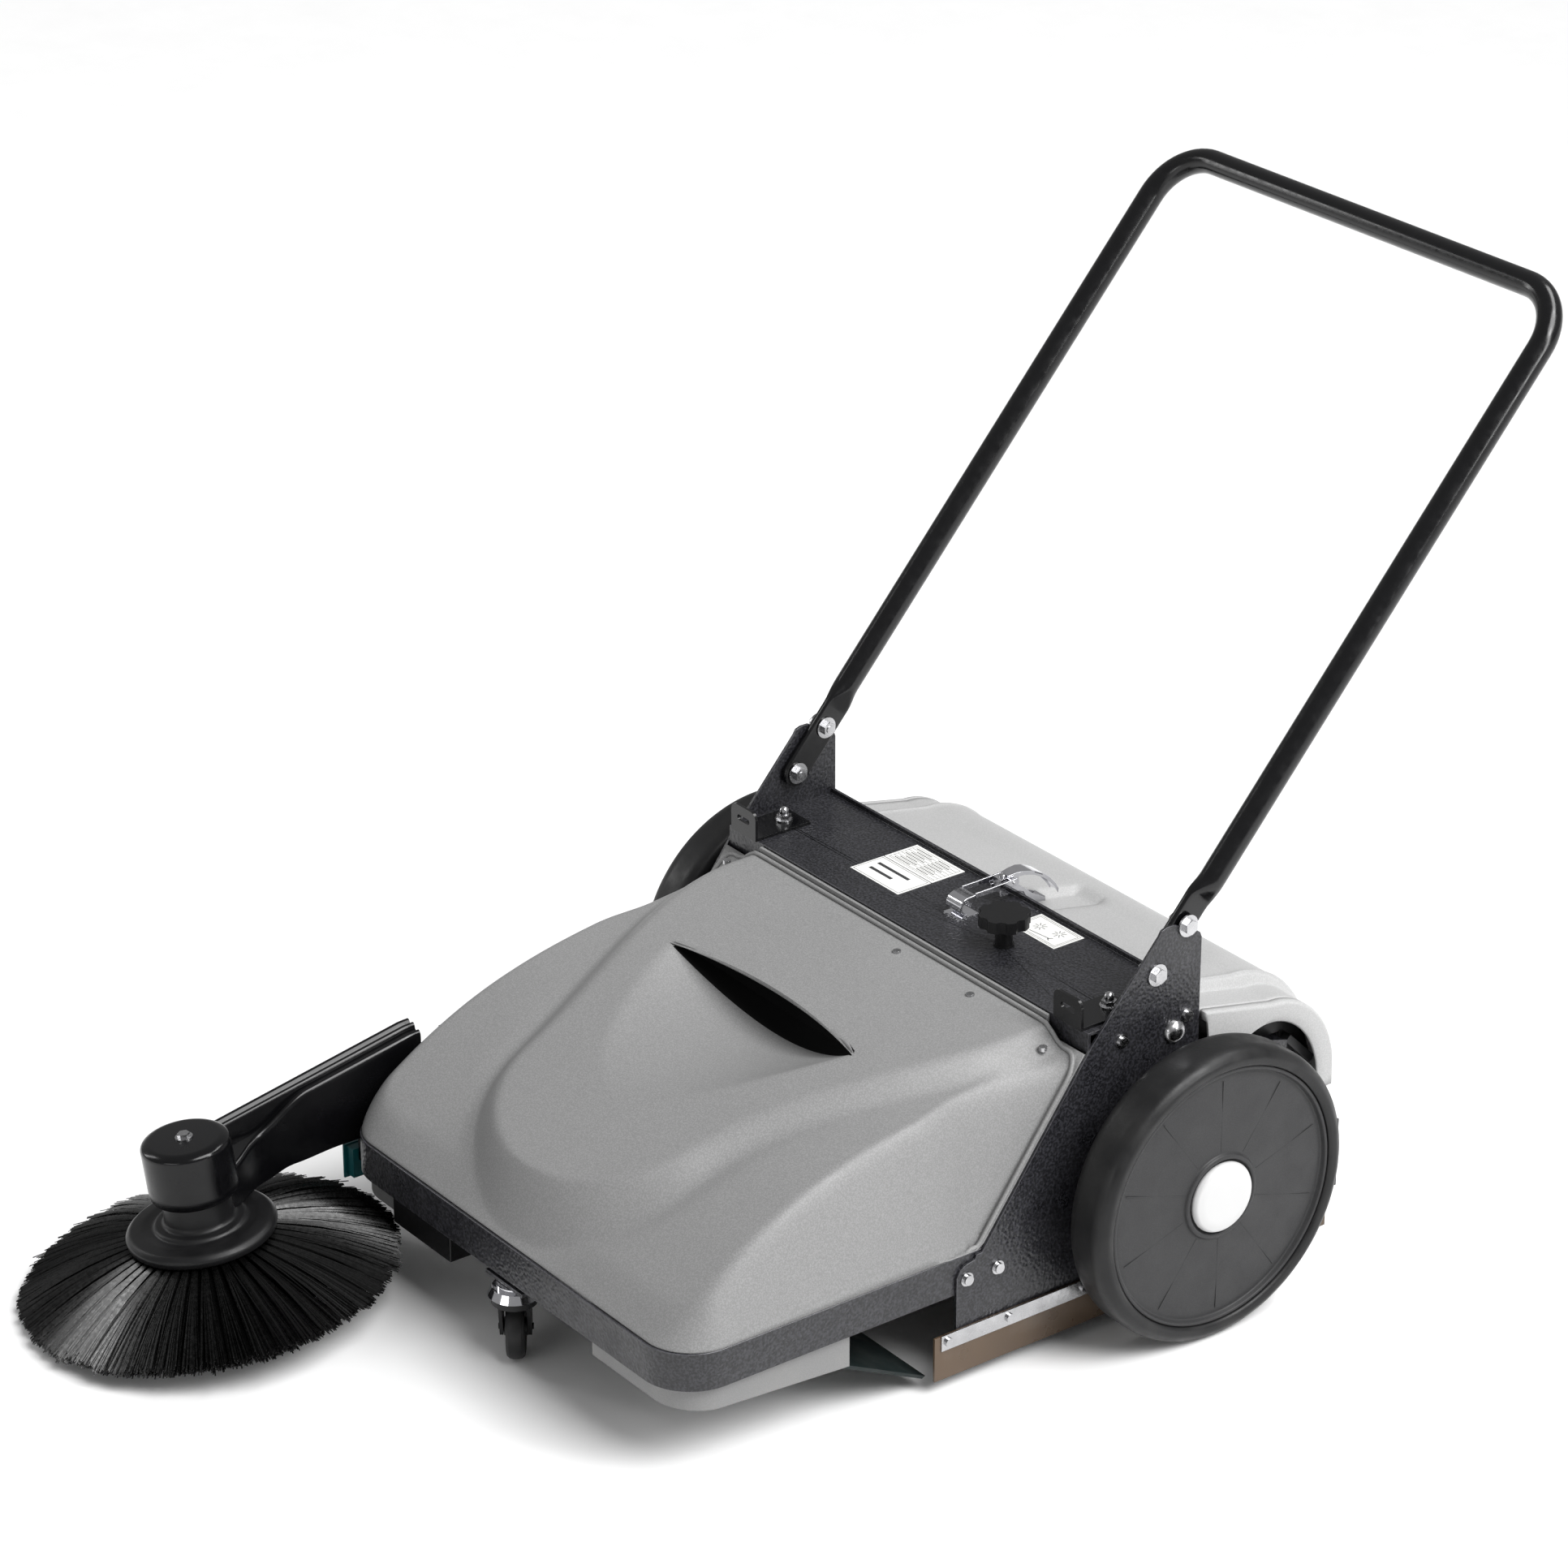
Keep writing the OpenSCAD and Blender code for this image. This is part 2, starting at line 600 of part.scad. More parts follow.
module rear_cover() color([0.68, 0.68, 0.68]) difference() {
    union() {
        x_plate(-dome_half, dome_half) shell_section(37, 308, [115, 293], 214, 105);
        both_sides() {
            x_plate(dome_half - 0.01, end_half) intersection() {
                shell_section(39, 299, [125, 281], 205, 105);
                translate([0, 170]) square([300, 200]);
            }
            x_plate(dome_half - skin, dome_half) difference() {
                polygon(shell_profile(39, 306, [115, 291], 213, 105));
                polygon(shell_profile(30, 297, [125, 279], 203, 90));
            }
            x_plate(dome_half - 0.01, 276) translate([205 - skin, 105]) square([skin, 70]);
            x_plate(end_half - skin, end_half) arch_face();
            x_bar(264, 276, 6, rear_hinge_y, rear_hinge_z);
        }
    }
    both_sides() x_bar(260, 280, 3 + run_clear, rear_hinge_y, rear_hinge_z);
    // Finger recess under the latch lever's tip
    translate([latch_x, 88, 312]) sphere(r = 16);
}

module latch_base() color([0.8, 0.8, 0.82]) {
    both_ears() x_plate(6.6, 8) polygon([[latch_y - 6, latch_z - 5], [latch_y - 6, latch_z + 3],
        [26, 334], [46, 317], [62, 308.5], [62, 304], [42, 308.6], [34, 323], [28, 325]]);
    block([latch_x - 8, 42, 305], [latch_x + 8, 62, 309.5]);
    x_bar(latch_x - 7.4, latch_x + 7.4, 1.5, latch_y, latch_z);
}

module both_ears() for (s = [0, 1]) translate([latch_x, 0, 0]) mirror([s, 0, 0]) children();

module latch_lever() color([0.85, 0.85, 0.87]) {
    difference() {
        union() {
            x_bar(latch_x - 6.3, latch_x + 6.3, 4, latch_y, latch_z);
            x_plate(latch_x - 6.3, latch_x + 6.3) polygon([[latch_y, latch_z - 2], [latch_y - 1, latch_z + 4],
                [latch_y + 8, latch_z + 8], [34, 339], [52, 334], [68, 325], [78, 314], [80, 309], [77, 309],
                [66, 322], [51, 331], [34, 336], [latch_y + 10, latch_z + 2]]);
        }
        x_bar(latch_x - 7, latch_x + 7, 1.5 + run_clear, latch_y, latch_z);
    }
    x_bar(latch_x - 12, latch_x + 12, 1.5, latch_y + 8, latch_z + 7);
}

module latch_bail() color([0.8, 0.8, 0.82]) {
    both_ears() difference() {
        x_plate(9, 11) {
            translate([latch_y + 8, latch_z + 7]) circle(3.5);
            translate([-46.5, latch_z + 5.5]) square([66.5, 3]);
        }
        x_bar(8, 12, 1.5 + run_clear, latch_y + 8, latch_z + 7);
    }
    block([latch_x - 9.5, -46.5, latch_z + 5.5], [latch_x + 9.5, -30, latch_z + 8.5]);
    block([latch_x - 9.5, -46.5, latch_z - 6], [latch_x + 9.5, -43.5, latch_z + 5.5]);
}

// ---------- Handle ----------

module handle_frame() translate([0, pivot_y, pivot_z]) rotate([handle_angle, 0, 0]) children();

// The U of the handle, solid at the given radius
module handle_run(r, start) {
    both_sides() {
        translate([leg_x, start, 0]) rotate([-90, 0, 0])
            cylinder(r = r, h = handle_len - bend_r - start);
        translate([leg_x - bend_r, handle_len - bend_r, 0])
            rotate_extrude(angle = 90) translate([bend_r, 0]) circle(r = r);
    }
    x_bar(-leg_x + bend_r, leg_x - bend_r, r, handle_len);
}

module handle_flat() difference() {
    union() {
        block([flat_x0, 0, -15], [flat_x0 + flat_t, 76, 15]);
        x_bar(flat_x0, flat_x0 + flat_t, 15);
    }
    x_bar(flat_x0 - 1, 280, bolt_r + run_clear);
    x_bar(flat_x0 - 1, 280, bolt_r + run_clear, bolt_pitch);
}

module handle_tube() color([0.05, 0.05, 0.05]) handle_frame() {
    both_sides() {
        handle_flat();
        hull() {
            block([flat_x0, 75.5, -15], [flat_x0 + flat_t, 76, 15]);
            translate([leg_x, 100, 0]) rotate([-90, 0, 0]) cylinder(r = tube_d / 2, h = 0.5, $fn = 32);
        }
    }
    difference() {
        handle_run(tube_d / 2, 100.4);
        handle_run(tube_d / 2 - tube_wall, 106);
        // Drain hole under the cross bar
        translate([0, handle_len, -tube_d]) cylinder(r = 2, h = tube_d);
    }
}

module handle_lock_bolts() color([0.78, 0.78, 0.8]) both_sides()
    ear_bolt(pivot_y + bolt_pitch * cos(handle_angle), pivot_z + bolt_pitch * sin(handle_angle), gap, 0);

// ---------- Caster ----------

module caster_head() color([0.75, 0.75, 0.77]) translate([0, caster_y, 0]) {
    translate([0, 0, 74]) cylinder(r = 5, h = 63);
    translate([0, 0, 130 + gap]) cylinder(r = 9, h = 5.5, $fn = 6);
    translate([0, 0, 74]) cylinder(r1 = 25, r2 = 21, h = 8);
    translate([0, 0, 82]) cylinder(r = 17, h = 4 - gap);
}

module caster_frame() translate([0, caster_y, 0]) rotate([0, 0, caster_turn]) children();

module caster_fork() color([0.08, 0.08, 0.09]) caster_frame() difference() {
    union() {
        translate([0, 0, 66]) cylinder(r = 22, h = 8);
        both_sides() x_plate(11.5, 15) polygon([[-18, 74], [20, 74], [caster_trail + 9, 26],
            [caster_trail - 8, 26]]);
        x_bar(-16.5, 16.5, 3, caster_trail, caster_r);
    }
    translate([0, 0, 60]) cylinder(r = 4, h = 6);
}

module caster_wheel() color([0.1, 0.1, 0.11]) caster_frame() translate([-10, caster_trail, caster_r])
    rotate([0, 90, 0]) rotate_extrude() polygon([[3 + run_clear, -1], [9, -1], [9, 2], [22, 3], [25, 1],
        [28, 1.5], [30.2, 4], [caster_r, 8], [caster_r, 12], [30.2, 16], [28, 18.5], [25, 19], [22, 17],
        [9, 18], [9, 21], [3 + run_clear, 21]]);

// ---------- Side brush ----------

module side_frame() translate([side_x, side_y, side_z]) rotate([side_tilt_x, side_tilt_y, 0]) children();

module brush_head() color([0.05, 0.05, 0.05]) side_frame() rotate_extrude() polygon([[0, 88],
    [9 + run_clear, 88], [9 + run_clear, 74], [14, 74], [14, 88], [35, 90], [35, 38], [39, 36], [43, 36],
    [43, 86], [41.5, 91], [38, 94], [30, 95], [0, 95]]);

module head_bolt() color([0.75, 0.75, 0.77]) side_frame() {
    translate([0, 0, 95]) cylinder(r = 8.5, h = 1.2);
    translate([0, 0, 96.2]) cylinder(r = 6, h = 3.5, $fn = 6);
}

module side_spindle() color([0.6, 0.6, 0.62]) side_frame() {
    translate([0, 0, 8.4]) cylinder(r = 9, h = 78);
    translate([0, 0, 60]) cylinder(r = 24, h = 10);
}

module side_brush_hub() color([0.1, 0.1, 0.1]) side_frame() difference() {
    rotate_extrude($fn = 72) polygon([[9.05, 8.4], [9.05, 35], [33, 35], [34, 12], [40, 8], [66, 4],
        [72.5, 0], [73, -3], [70, -8], [20, -8], [20, 8.4]]);
}

module side_bristles() color([0.04, 0.04, 0.04]) side_frame() rotate_extrude($fn = 72)
    polygon([[30, -8.3], [68, -8.3], [100, -14], [140, -28], [172, -44], [side_r - 1, -54],
        [side_r, -57], [180, -58], [168, -51], [137, -36], [98, -22], [60, -17], [30, -17]]);

// Inverted channel from the arm's root to the head, with two ridges along its top
module brush_arm() color([0.05, 0.05, 0.05]) difference() {
    union() {
        x_plate(arm_x - 13, arm_x + 13) polygon([[-706, 96], [-706, 161.8], [-470, 206.4], [-464, 203],
            [-464, 118], [-480, 108], [-554, 107], [-614, 105], [-650, 96]]);
        for (s = [-7, 7]) x_plate(arm_x + s - 2, arm_x + s + 2) polygon([[-700, 150], [-700, 166],
            [-476, 208.4], [-470, 206], [-470, 190]]);
    }
    x_plate(arm_x - 10, arm_x + 10) polygon([[-642, 60], [-642, 170.9], [-440, 209], [-440, 60]]);
    side_frame() translate([0, 0, -10]) cylinder(r = 43, h = 120);
    x_bar(-320, -270, 6 + run_clear, arm_pivot_y, arm_pivot_z);
}

module arm_belt() color([0.07, 0.07, 0.07]) x_plate(arm_x - 2.5, arm_x + 2.5) {
    polygon([[-500, 125], [-500, 130], [-636, 145], [-636, 140]]);
    polygon([[-500, 166], [-500, 171], [-636, 159], [-636, 154]]);
}

module jack_pulley() color([0.2, 0.2, 0.2]) translate([-298, arm_pivot_y, arm_pivot_z]) rotate([0, 90, 0])
    rotate_extrude() polygon([[6 + run_clear, 0], [29, 0], [29, 1.5], [25, 2], [25, 9], [29, 9.5],
        [29, 11], [6 + run_clear, 11]]);

// Hand lever under the arm's root that holds the side brush up
module brush_lever() {
    color([0.75, 0.75, 0.77]) {
        x_bar(-plate_in - 8, -plate_in, 2.8, lever_y, lever_z);
        block([-plate_in - 20, -548, 62], [-plate_in - 18, -516, 98]);
    }
    color([0, 0.35, 0.36]) block([-plate_in - 18, -545, 66], [-plate_in - 6, -512, 97]);
}

place() side_plate_left();
place() side_plate_right();
place() top_plate();
place() front_band();
place() stub_axles();
place() mounting_brackets();
place() bracket_nuts();
place() plate_screws();
place() handle_pivot_bolts();
place() labels();
place() latch_keeper();
place() side_skirts();
place() skirt_clamps();
place() front_flap();
place() rear_flap();
place() rear_bar();
place() filter_tray();
place() dust_filter();
place() caster_bracket();
place() spring_box();
place() belt_guard();
place() wheel_belt();
place() arm_bracket();
place() hinge_pins();
place() left_tyre();
place() left_wheel_disc();
place() left_hub_cap();
place() left_drive_roller();
place() right_tyre();
place() right_wheel_disc();
place() right_hub_cap();
place() right_pulley();
place() brush_carrier();
place() brush_core();
place() brush_bristles();
place() brush_roller();
place() height_knob();
place() front_cover();
place() cover_lip();
place() hopper_bin();
place() cover_screws();
place() rear_cover();
place() latch_base();
place() latch_lever();
place() latch_bail();
place() handle_tube();
place() handle_lock_bolts();
place() caster_head();
place() caster_fork();
place() caster_wheel();
place() brush_arm();
place() brush_head();
place() head_bolt();
place() arm_belt();
place() jack_pulley();
place() side_spindle();
place() side_brush_hub();
place() side_bristles();
place() brush_lever();
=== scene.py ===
"""Looks of a walk-behind push sweeper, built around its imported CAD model.

Shapes are written in millimetres from the point on the floor under the wheel axle's centre,
as the CAD source is, and at() turns them into the frame's metres.
"""

import json
import math

import bpy
import numpy as np
from mathutils import Matrix, Vector


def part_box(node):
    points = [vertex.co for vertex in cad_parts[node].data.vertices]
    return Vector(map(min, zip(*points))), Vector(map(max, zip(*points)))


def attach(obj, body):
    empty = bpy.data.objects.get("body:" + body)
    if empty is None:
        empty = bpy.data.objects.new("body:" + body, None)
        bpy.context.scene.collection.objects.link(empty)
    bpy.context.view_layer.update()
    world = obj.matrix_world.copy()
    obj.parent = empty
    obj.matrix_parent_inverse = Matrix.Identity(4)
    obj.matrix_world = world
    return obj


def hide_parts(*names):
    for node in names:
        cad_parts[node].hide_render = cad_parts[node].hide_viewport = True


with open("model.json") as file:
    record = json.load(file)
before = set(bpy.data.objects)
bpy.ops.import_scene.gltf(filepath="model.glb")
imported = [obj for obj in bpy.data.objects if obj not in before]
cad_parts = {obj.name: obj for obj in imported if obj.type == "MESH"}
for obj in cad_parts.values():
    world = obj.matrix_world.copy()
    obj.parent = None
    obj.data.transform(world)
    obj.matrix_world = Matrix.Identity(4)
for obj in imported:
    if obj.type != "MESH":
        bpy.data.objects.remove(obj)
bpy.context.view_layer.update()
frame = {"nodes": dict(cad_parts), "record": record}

MM = 0.001

tyre_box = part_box("left_tyre")
plate_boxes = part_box("side_plate_left"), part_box("side_plate_right")
ORIGIN = Vector(((plate_boxes[0][1].x + plate_boxes[1][0].x) / 2, (tyre_box[0].y + tyre_box[1].y) / 2, 0))
AXLE_Z = (tyre_box[0].z + tyre_box[1].z) / 2 / MM


def at(x, y, z):
    return ORIGIN + Vector((x, y, z)) * MM


# ---------- Materials ----------


def material(name, colour, roughness, metallic=0.0, vary=0.12, rough_vary=0.1, grain=900, grain_depth=0.00006,
             cells=0, cell_depth=0.0, stretch=(1, 1, 1), coat=0.0, specular=0.5, speckle=0.0, sheen=0.0,
             dust=0.0, patch=9):
    """A procedural surface: colour drift, optional speckle and dust, uneven roughness and a fine bump."""
    mat = bpy.data.materials.new(name)
    mat.use_nodes = True
    nodes, links = mat.node_tree.nodes, mat.node_tree.links
    shader = nodes["Principled BSDF"]
    shader.inputs["Metallic"].default_value = metallic
    shader.inputs["Coat Weight"].default_value = coat
    shader.inputs["Coat Roughness"].default_value = 0.08
    shader.inputs["Specular IOR Level"].default_value = specular
    shader.inputs["Sheen Weight"].default_value = sheen
    coords = nodes.new("ShaderNodeTexCoord")
    mapping = nodes.new("ShaderNodeMapping")
    mapping.inputs["Scale"].default_value = stretch
    links.new(coords.outputs["Object"], mapping.inputs["Vector"])

    def noise(scale, detail=3.0):
        node = nodes.new("ShaderNodeTexNoise")
        node.inputs["Scale"].default_value = scale
        node.inputs["Detail"].default_value = detail
        links.new(mapping.outputs["Vector"], node.inputs["Vector"])
        return node.outputs["Fac"]

    def ramp(source, low, high, low_colour, high_colour):
        node = nodes.new("ShaderNodeValToRGB")
        node.color_ramp.elements[0].position = low
        node.color_ramp.elements[1].position = high
        node.color_ramp.elements[0].color = (*low_colour, 1)
        node.color_ramp.elements[1].color = (*high_colour, 1)
        links.new(source, node.inputs["Fac"])
        return node.outputs["Color"]

    def mix(fac, a, b, blend="MIX"):
        node = nodes.new("ShaderNodeMix")
        node.data_type = "RGBA"
        node.blend_type = blend
        if isinstance(fac, float):
            node.inputs["Factor"].default_value = fac
        else:
            links.new(fac, node.inputs["Factor"])
        for socket, value in ((node.inputs[6], a), (node.inputs[7], b)):
            if isinstance(value, tuple):
                socket.default_value = (*value, 1)
            else:
                links.new(value, socket)
        return node.outputs[2]

    dark = tuple(c * (1 - vary) for c in colour)
    light = tuple(min(1.0, c * (1 + vary)) for c in colour)
    base = ramp(noise(patch), 0.3, 0.7, dark, light)
    if speckle:
        spots = ramp(noise(grain * 0.8, 2.0), 0.44, 0.6, tuple(c * max(0.1, 1 - speckle) for c in colour),
                     tuple(min(1.0, c * (1 + speckle)) for c in colour))
        base = mix(0.5, base, spots)
    if dust:
        mask = ramp(noise(23, 6.0), 0.48, 0.75, (0, 0, 0), (dust, dust, dust))
        base = mix(mask, base, (0.32, 0.31, 0.29))
    links.new(base, shader.inputs["Base Color"])

    spread = nodes.new("ShaderNodeMapRange")
    spread.inputs["From Min"].default_value = 0.3
    spread.inputs["From Max"].default_value = 0.7
    spread.inputs["To Min"].default_value = max(0.03, roughness - rough_vary)
    spread.inputs["To Max"].default_value = min(1.0, roughness + rough_vary)
    links.new(noise(patch * 4, 5.0), spread.inputs["Value"])
    links.new(spread.outputs["Result"], shader.inputs["Roughness"])

    bump = nodes.new("ShaderNodeBump")
    bump.inputs["Distance"].default_value = grain_depth
    bump.inputs["Strength"].default_value = 0.8
    links.new(noise(grain), bump.inputs["Height"])
    last = bump
    if cells:
        voronoi = nodes.new("ShaderNodeTexVoronoi")
        voronoi.feature = "SMOOTH_F1"
        voronoi.inputs["Scale"].default_value = cells
        links.new(mapping.outputs["Vector"], voronoi.inputs["Vector"])
        last = nodes.new("ShaderNodeBump")
        last.inputs["Distance"].default_value = cell_depth
        last.inputs["Strength"].default_value = 1.0
        links.new(voronoi.outputs["Distance"], last.inputs["Height"])
        links.new(bump.outputs["Normal"], last.inputs["Normal"])
    links.new(last.outputs["Normal"], shader.inputs["Normal"])
    return mat


LOOKS = {
    "hammer_black": material("hammertone", (0.017, 0.017, 0.020), 0.35, cells=300, cell_depth=0.0006,
                             speckle=1.6, grain=520, grain_depth=0.00012, vary=0.15, specular=0.55),
    "gloss_black": material("gloss_enamel", (0.0025, 0.0025, 0.003), 0.2, grain=400,
                            grain_depth=0.00002, specular=0.45,
                            rough_vary=0.07, patch=30),
    "zinc": material("zinc_plate", (0.5, 0.5, 0.51), 0.24, metallic=1.0, grain=1400,
                     grain_depth=0.00003, patch=60),
    "chrome": material("chrome_plate", (0.72, 0.72, 0.75), 0.1, metallic=1.0, rough_vary=0.05, grain=300,
                       grain_depth=0.00002, patch=80, vary=0.05),
    "cover_grey": material("cover_plastic", (0.235, 0.235, 0.235), 0.46, speckle=0.22, grain=900,
                           grain_depth=0.00009, vary=0.035, rough_vary=0.06, patch=5, specular=0.35),
    "rear_grey": material("rear_plastic", (0.42, 0.42, 0.42), 0.47, speckle=0.14, grain=900, specular=0.35,
                          grain_depth=0.00007, vary=0.035, rough_vary=0.06, patch=5),
    "bin_grey": material("bin_plastic", (0.2, 0.2, 0.2), 0.5, speckle=0.1, grain=1000, vary=0.06, dust=0.15),
    "black_plastic": material("black_plastic", (0.0065, 0.0065, 0.007), 0.4, grain=1100, grain_depth=0.00008,
                              vary=0.2, specular=0.3),
    "gloss_black_plastic": material("gloss_plastic", (0.0025, 0.0025, 0.003), 0.22, specular=0.35, grain=900,
                                    grain_depth=0.00004, vary=0.2, rough_vary=0.08),
    "tyre_rubber": material("tyre_rubber", (0.010, 0.010, 0.0105), 0.42, grain=500,
                            grain_depth=0.00012, vary=0.2,
                            dust=0.03, patch=14, specular=0.3),
    "disc_plastic": material("disc_plastic", (0.030, 0.030, 0.031), 0.5, speckle=0.2, grain=1100,
                             grain_depth=0.00008, vary=0.08, specular=0.3),
    "cap_plastic": material("cap_plastic", (0.56, 0.56, 0.56), 0.4, grain=1000, grain_depth=0.00003, vary=0.04),
    "bristle": material("bristle", (0.002, 0.002, 0.002), 0.3, grain=2500, grain_depth=0.00003,
                        vary=0.5, patch=70, specular=0.4),
    "amber_rubber": material("amber_rubber", (0.075, 0.048, 0.028), 0.32, grain=250, vary=0.25, dust=0.12),
    "dark_rubber": material("dark_rubber", (0.008, 0.013, 0.013), 0.5, grain=400, vary=0.2, dust=0.05,
                            specular=0.3),
    "label_film": material("label_film", (0.80, 0.80, 0.78), 0.35, grain=600, grain_depth=0.00001, vary=0.03),
    "filter_paper": material("filter_paper", (0.05, 0.048, 0.042), 0.9, grain=700, grain_depth=0.0002, vary=0.2,
                             dust=0.2, sheen=0.2),
    "roller_plastic": material("roller_plastic", (0.55, 0.53, 0.46), 0.5, grain=700, vary=0.1),
    "teal_plastic": material("teal_plastic", (0.004, 0.10, 0.11), 0.38, grain=900, vary=0.12),
    "steel": material("turned_steel", (0.5, 0.5, 0.51), 0.34, metallic=1.0, grain=260, stretch=(0.2, 1, 1),
                      grain_depth=0.00004, patch=40),
}
# Lighter, glossier paints for the rounded edges of painted parts: partly wear, partly painted highlight
EDGE_WEAR_AND_HIGHLIGHT = {
    "hammer_black": material("hammertone_edge_highlight", (0.05, 0.049, 0.056), 0.28, grain=600, vary=0.35, patch=40,
                             specular=0.7),
    "gloss_black": material("enamel_edge_highlight", (0.01, 0.01, 0.011), 0.2, grain=500, vary=0.3, patch=50),
}
# Near-black paint for the faces under the cover's lip: painted shade in the finger recess
SHADOW = material("grip_recess_painted_shade", (0.004, 0.004, 0.004), 0.8, grain=900, vary=0.3, specular=0.1)
PRINT = material("label_print", (0.03, 0.03, 0.032), 0.45, grain=900, grain_depth=0.00001, vary=0.2)
SLOT_OF = {row["node"]: row["material_slot"] for row in frame["record"]["subparts"]}


def link_new(name, data):
    made = bpy.data.objects.new(name, data)
    bpy.context.scene.collection.objects.link(made)
    return made


# ---------- CAD nodes: material, rounded edges ----------

EDGE = {"height_knob": 1.6, "front_band": 0.9, "hopper_bin": 1.5, "labels": 0.1, "dust_filter": 0.6,
        "side_skirts": 0.3, "skirt_clamps": 0.35, "front_flap": 0.4, "latch_base": 0.4, "latch_keeper": 0.4,
        "bracket_nuts": 0.35, "plate_screws": 0.35, "handle_pivot_bolts": 0.5, "handle_lock_bolts": 0.5,
        "head_bolt": 0.5, "mounting_brackets": 0.7, "cover_screws": 0.5, "spring_box": 1.2,
        "caster_fork": 0.8}
DEFAULT_EDGE = 0.5
BEVEL_ANGLE = math.radians(28)


def round_edges(piece, width, wear_and_highlight_index=-1):
    """Welds the mesh and rounds its edges, which catch the light as real edges do; with a slot index given, the
    rounded faces take a lighter edge paint, partly wear and partly painted highlight.
    """
    weld = piece.modifiers.new("weld", "WELD")
    weld.merge_threshold = 1e-6
    bevel = piece.modifiers.new("edges", "BEVEL")
    bevel.width = width * MM
    bevel.segments = 2
    bevel.limit_method = "ANGLE"
    bevel.angle_limit = BEVEL_ANGLE
    bevel.harden_normals = True
    bevel.use_clamp_overlap = True
    # Rounded faces take the lighter edge paint, partly wear and partly painted highlight
    bevel.material = wear_and_highlight_index


# Nodes drawn with another slot's look; their own slot stays as the record has it
PAINTED = {"filter_tray": "hammer_black"}
for node_name, node in frame["nodes"].items():
    look = SLOT_OF[node_name]
    node.data.materials.clear()
    node.data.materials.append(LOOKS[PAINTED.get(node_name, look)])
    if look in EDGE_WEAR_AND_HIGHLIGHT:
        node.data.materials.append(EDGE_WEAR_AND_HIGHLIGHT[look])
    for attribute in ("custom_normal", "sharp_edge"):
        if attribute in node.data.attributes:
            node.data.attributes.remove(node.data.attributes[attribute])
    node.data.shade_smooth()
    round_edges(node, EDGE.get(node_name, DEFAULT_EDGE), 1 if look in EDGE_WEAR_AND_HIGHLIGHT else -1)


# ---------- Mesh building ----------


class Shape:
    """Collects vertices in millimetres and faces, and becomes one piece."""

    def __init__(self):
        self.points = []
        self.faces = []

    def add(self, points, faces):
        start = len(self.points)
        self.points.extend(Vector(p) for p in points)
        self.faces.extend([start + i for i in face] for face in faces)
        return self

    def grid(self, rows, wrap=False):
        """Quads between rows of points; wrap joins the ends of each row."""
        count = len(rows[0])
        faces = []
        for r in range(len(rows) - 1):
            for c in range(count if wrap else count - 1):
                d = (c + 1) % count
                faces.append([r * count + c, r * count + d, (r + 1) * count + d, (r + 1) * count + c])
        return self.add([p for row in rows for p in row], faces)

    def lathe(self, outline, place, segments=96):
        """Turns an outline of (radius, height) about the local Z of the place matrix."""
        rows = []
        for radius, height in outline:
            reach = max(radius, 0.001)
            rows.append([place @ Vector((reach * math.cos(a), reach * math.sin(a), height))
                         for a in (2 * math.pi * i / segments for i in range(segments))])
        return self.grid(rows, wrap=True)

    def loft(self, sections):
        """Closed sections joined in order, with a flat cap on both ends."""
        self.grid(sections, wrap=True)
        count = len(sections[0])
        end = len(self.points)
        self.faces.append(list(range(end - count, end)))
        first = end - count * len(sections)
        self.faces.append(list(range(first + count - 1, first - 1, -1)))
        return self

    def block(self, low, high):
        (x0, y0, z0), (x1, y1, z1) = low, high
        points = [(x, y, z) for z in (z0, z1) for y in (y0, y1) for x in (x0, x1)]
        return self.add(points, [[0, 2, 3, 1], [4, 5, 7, 6], [0, 1, 5, 4], [2, 6, 7, 3], [0, 4, 6, 2],
                                 [1, 3, 7, 5]])

    def piece(self, name, body, look, replaces=(), smooth_below=38, edge=0.0, extra=()):
        mesh = bpy.data.meshes.new(name)
        mesh.from_pydata([at(*p) for p in self.points], [], self.faces)
        mesh.validate()
        made = link_new(name, mesh)
        mesh.materials.append(LOOKS[look] if isinstance(look, str) else look)
        for other in extra:
            mesh.materials.append(other)
        mesh.shade_smooth()
        if edge:
            round_edges(made, edge)
        else:
            mesh.set_sharp_from_angle(angle=math.radians(smooth_below))
        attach(made, body)
        if replaces:
            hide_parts(*replaces)
        return made


def thicken(piece, wall):
    """Gives an open surface its wall, inwards from the drawn face."""
    solid = piece.modifiers.new("wall", "SOLIDIFY")
    solid.thickness = wall * MM
    solid.offset = -1


def rod_sides(b):
    """Side faces of a three-sided rod between the rings of points that start at b and b + 3."""
    return [[b, b + 1, b + 4, b + 3], [b + 1, b + 2, b + 5, b + 4], [b + 2, b, b + 3, b + 5]]


def lerp(a, b, t):
    return a + (b - a) * t


def clamp01(v):
    return min(1.0, max(0.0, v))


def smooth(v):
    t = clamp01(v)
    return t * t * (3 - 2 * t)


def spaced(start, end, count):
    return [lerp(start, end, i / (count - 1)) for i in range(count)]


# ---------- Hopper cover ----------

COVER_REAR, COVER_FRONT, COVER_HALF = -101.0, -560.0, 276.5
COVER_RUN, RIM_BREAK, RIM_SLOPE, COVER_WALL = 463.0, 221.0, 1.36, 2.4
CORNER, ROUND, FLANGE = 50.0, 28.0, 7.5
COVER_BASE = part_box("front_cover")[0].z / MM
RECESS_HALF, RECESS_LENGTH, RECESS_DEPTH = 142.0, 185.0, 46.0


def along(y):
    return (COVER_REAR + 4 - y) / COVER_RUN


def tongue_z(y):
    return 305 - 114 * along(y) ** 2


def shoulder_z(y):
    return 292 - 40 * along(y) - 110 * along(y) ** 4


def tongue_half(y):
    return 125 + 99 * smooth((y + 470) / 340)


